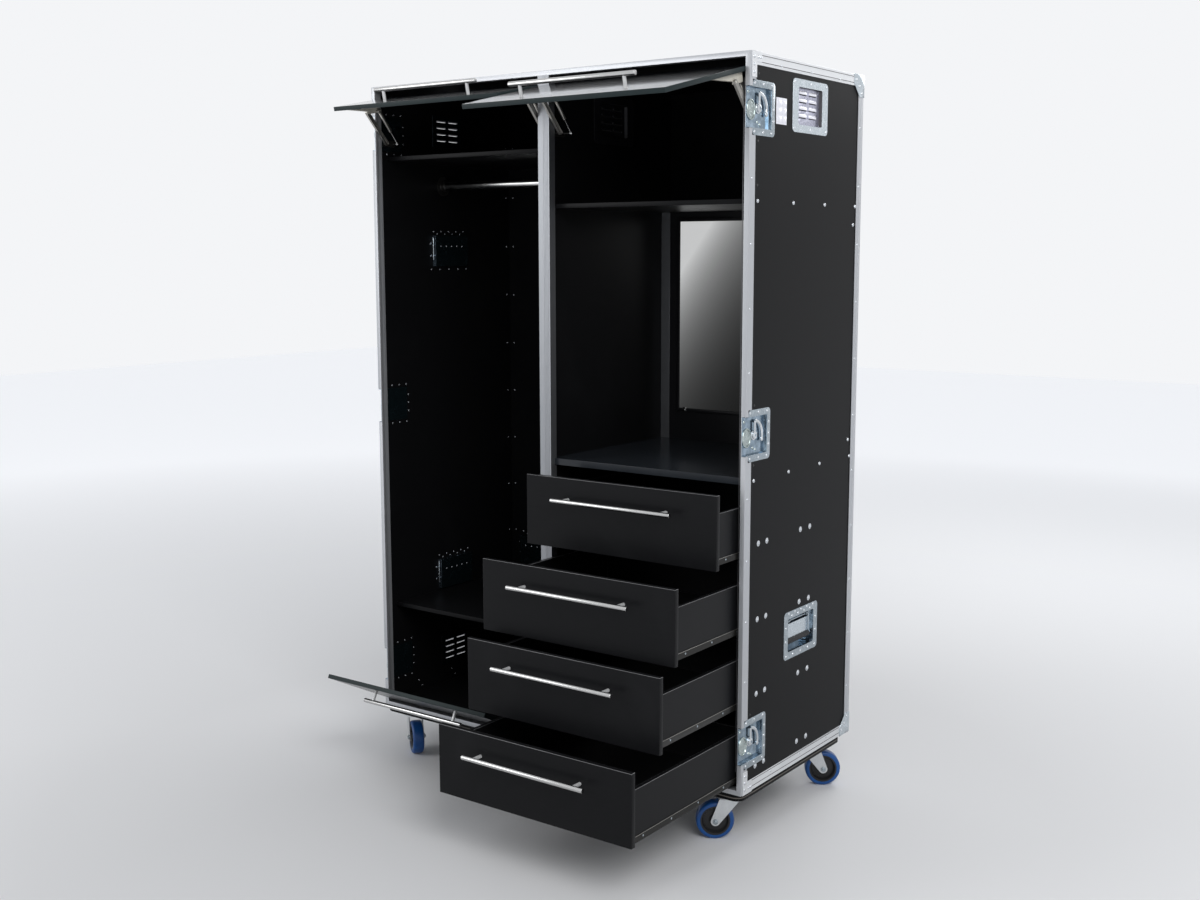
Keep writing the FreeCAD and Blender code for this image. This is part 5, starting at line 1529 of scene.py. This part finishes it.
@dataclass
class Interior:
    """Clothes rail, mirror with its clips, angles and wall fittings."""

    flange: float = 2.4
    clip: float = 12.0

    def build(self) -> None:
        """Dress what is fixed inside."""
        self.rail()
        self.mirror()
        soft_copy("mirror_angle_trim", "mirror_angles", 0.3, DULL_ALUMINIUM)
        soft_copy("runner_channels", "wall_fittings", 0.15, SHADED_RUNNER_STEEL, segments=1)

    def rail(self) -> None:
        """A polished tube in two flanged sockets."""
        low, high = box("clothes_rail")
        y, z = (low.y + high.y) / 2, (low.z + high.z) / 2
        tube = rod((low.x + self.flange, y, z), (high.x - self.flange, y, z), 12.5, 0, 64)
        sockets = []
        for x, way in ((low.x, 1), (high.x, -1)):
            socket = lathe([(12.6, 0.1), (29, 0.1), (29, 1.6), (27, 2.4), (16, 2.6), (15, 4), (15, 15),
                            (14, 16), (12.6, 16)], 64)
            sockets.append(moved(socket, at((x, y, z)) @ Matrix.Rotation(way * math.pi / 2, 4, "Y")))
            for across, up in (ring_spot(22, turn) for turn in (90, 210, 330)):
                spot = (x + way * self.flange, y + across, z + up)
                sockets.append(rivets([(spot, (way, 0, 0))], 3.0, 1.2, 12))
        add_piece("rail_polished", tube, "case", STAINLESS, ["clothes_rail"])
        add_piece("rail_sockets", join(*sockets), "case", SHADED_RUNNER_STEEL, ["clothes_rail"])

    def mirror(self) -> None:
        """Framed glass with two bright clips at its lower corners."""
        soft_copy("mirror_frame_black", "mirror_board", 0.5, FRAME_BLACK)
        soft_copy("mirror_silvered", "mirror_pane", 1.0, MIRROR)
        low, high = box("mirror_pane")
        face = low.y - 3.4
        clips = []
        for x in (low.x + 14, high.x - 26):
            clips += [block((x, face, low.z - 9), (x + self.clip, face + 1.4, low.z + 3), 0.4),
                      rivets([((x + self.clip / 2, face, low.z - 5), FORWARD)], 2.4, 0.8)]
        add_piece("mirror_clips", join(*clips), "case", STAINLESS)


# Castors


@dataclass
class Castor:
    """A swivel castor: blue tyre on a black hub in a zinc fork."""

    name: str
    radius: float = 50.0
    width: float = 34.0
    shoulder: float = 7.0
    seat: float = 39.2
    bore: float = 5.1
    sides: int = 72

    def build(self) -> None:
        """Model tyre and hub round the axle, and dress the fork."""
        castor = f"castor_{self.name}"
        fork, wheel = f"{castor}_fork", f"{castor}_wheel"
        axle, way = pivot_of(f"{castor}_roll"), Vector(JOINTS[f"{castor}_roll"]["axis"])
        place = at(axle) @ pointed(way)
        half = self.width / 2
        turns = [ring_spot(self.shoulder, step) for step in range(0, 91, 15)]
        edge = [(self.radius - self.shoulder + out, half - self.shoulder + up) for out, up in turns]
        tyre = lathe([(self.seat, -half), *((out, -up) for out, up in reversed(edge)), *edge,
                      (self.seat, half)], self.sides)
        add_piece(f"{castor}_tyre", moved(tyre, place), wheel, BLUE_TYRE, [wheel], crisp=50)
        rim = half - 0.6
        web = [(self.bore, rim), (13, rim), (14, rim - 1), (15, 7), (31, 5.5), (33.5, rim - 2), (35, rim),
               (self.seat, rim)]
        hub = lathe([*((out, -up) for out, up in web), *reversed(web)], self.sides)
        add_piece(f"{castor}_hub", moved(hub, place), wheel, BLACK_PLASTIC, [wheel])
        soft_copy(f"{castor}_zinc", fork, 0.5, CASTOR_ZINC, fork)
        nuts = []
        for side in ENDS:
            foot = axle + way * side * (half + 5.0)
            nuts += [rod(foot, foot + way * side * 4, 7.5, 0.5, 6),
                     rod(foot, foot + way * side * 6, 4, 0.5, 20)]
        add_piece(f"{castor}_nuts", join(*nuts), fork, ZINC)


# Stage, in metres


@dataclass
class Studio:
    """Pale floor, soft light and the camera."""

    ground: Colour = (0.78, 0.78, 0.79)
    far_ground: Colour = (0.50, 0.51, 0.53)
    fade_start: float = 1.4
    fade_length: float = 5.6
    sky: Colour = (0.93, 0.96, 1.0)
    backdrop: Colour = (0.95, 0.96, 0.98)
    eye: Colour = (2.33996, -3.009474, 1.518663)
    yaw: float = 36.08951
    pitch: float = 8.06851
    roll: float = -0.09110
    lens: float = 41.755

    def build(self) -> None:
        """Set the stage."""
        self.floor()
        self.world()
        self.lamps()
        self.camera()
        bpy.context.scene.view_settings.view_transform = "Standard"

    def floor(self) -> None:
        """A wide matt floor that pales into the backdrop far from the trunk."""
        mesh = bmesh.new()
        bmesh.ops.create_grid(mesh, x_segments=4, y_segments=4, size=14.0)
        data = bpy.data.meshes.new("pale_floor")
        mesh.to_mesh(data)
        mesh.free()
        material = bpy.data.materials.new("pale_floor")
        material.use_nodes = True
        tree = material.node_tree
        away = tree.nodes.new("ShaderNodeVectorMath")
        away.operation = "LENGTH"
        feed(tree, tree.nodes.new("ShaderNodeTexCoord").outputs["Object"], away.inputs[0])
        beyond = math_node(tree, "SUBTRACT", away.outputs["Value"], self.fade_start)
        level = limited(tree, math_node(tree, "DIVIDE", beyond, self.fade_length))
        glow = blend(tree, level, BLACK, (*self.far_ground, 1.0))
        for label, value in (("Base Color", (*self.ground, 1.0)), ("Roughness", 0.75), ("Emission Color", glow),
                             ("Emission Strength", 1.0)):
            feed(tree, value, tree.nodes["Principled BSDF"].inputs[label])
        data.materials.append(material)
        show("pale_floor", data)

    def world(self) -> None:
        """Soft even light; the background and what metal reflects of it are pale."""
        world = bpy.data.worlds.new("soft_studio")
        bpy.context.scene.world = world
        world.use_nodes = True
        tree = world.node_tree
        plain, shown = tree.nodes["Background"], tree.nodes.new("ShaderNodeBackground")
        for node, colour, strength in ((plain, self.sky, 0.42), (shown, self.backdrop, 0.95)):
            node.inputs["Color"].default_value = (*colour, 1.0)
            node.inputs["Strength"].default_value = strength
        path = tree.nodes.new("ShaderNodeLightPath").outputs
        mix = tree.nodes.new("ShaderNodeMixShader")
        for socket, value in zip(mix.inputs, (
                math_node(tree, "MAXIMUM", path["Is Camera Ray"], path["Is Glossy Ray"]),
                plain.outputs[0], shown.outputs[0])):
            feed(tree, value, socket)
        feed(tree, mix.outputs[0], tree.nodes["World Output"].inputs["Surface"])

    @staticmethod
    def lamps() -> None:
        """A large key light at the right, and weaker ones at the left and behind."""
        for name, spot, aim, power, size in (
                ("key_light", (3.6, -2.6, 3.6), (0.2, 0.0, 1.0), 130.0, 2.6),
                ("fill_light", (-3.2, -3.4, 2.4), (-0.2, 0.0, 0.9), 60.0, 2.4),
                ("back_light", (0.5, 3.6, 3.4), (0.0, 0.2, 1.0), 60.0, 2.4)):
            lamp = bpy.data.lights.new(name, "AREA")
            lamp.energy = power
            lamp.size = size
            holder = show(name, lamp)
            holder.location = spot
            holder.rotation_euler = (Vector(aim) - Vector(spot)).to_track_quat("-Z", "Y").to_euler()

    def camera(self) -> None:
        """The camera at the viewing angle."""
        yaw, pitch, roll = (math.radians(angle) for angle in (self.yaw, self.pitch, self.roll))
        ahead = Vector((-math.sin(yaw) * math.cos(pitch), math.cos(yaw) * math.cos(pitch), -math.sin(pitch)))
        right = Vector((math.cos(yaw), math.sin(yaw), 0))
        up = right.cross(ahead)
        right, up = (right * math.cos(roll) + up * math.sin(roll), up * math.cos(roll) - right * math.sin(roll))
        data = bpy.data.cameras.new("camera")
        data.lens = self.lens
        data.sensor_width = 36.0
        camera = show("camera", data)
        camera.matrix_world = Matrix.Translation(self.eye) @ Matrix((right, up, -ahead)).transposed().to_4x4()
        bpy.context.scene.camera = camera


def main() -> None:
    """Build every sub-assembly in order."""
    logging.basicConfig(level=logging.INFO, format="%(name)s %(message)s")
    Studio().build()
    CaseShell().build()
    Dishes().build()
    for side in Side:
        for number in (1, 2, 3):
            ButterflyLatch(side, number).build()
    for name in ("right", "left_lower", "left_upper"):
        SprungGrip(name).build()
    SprungGrip("back", axis_x=True).build()
    Interior().build()
    for number in (1, 2, 3, 4):
        Drawer(number).build()
    for name, lifting in (("lift_flap_left", True), ("lift_flap_right", True), ("drop_flap", False)):
        Flap(name, lifting).build()
    for name in ("left", "right"):
        Stay(name).build()
    for name in ("front_left", "front_right", "back_left", "back_right"):
        Castor(name).build()
    dress("castor_plates", CASTOR_ZINC)


if __name__ == "__main__":
    main()
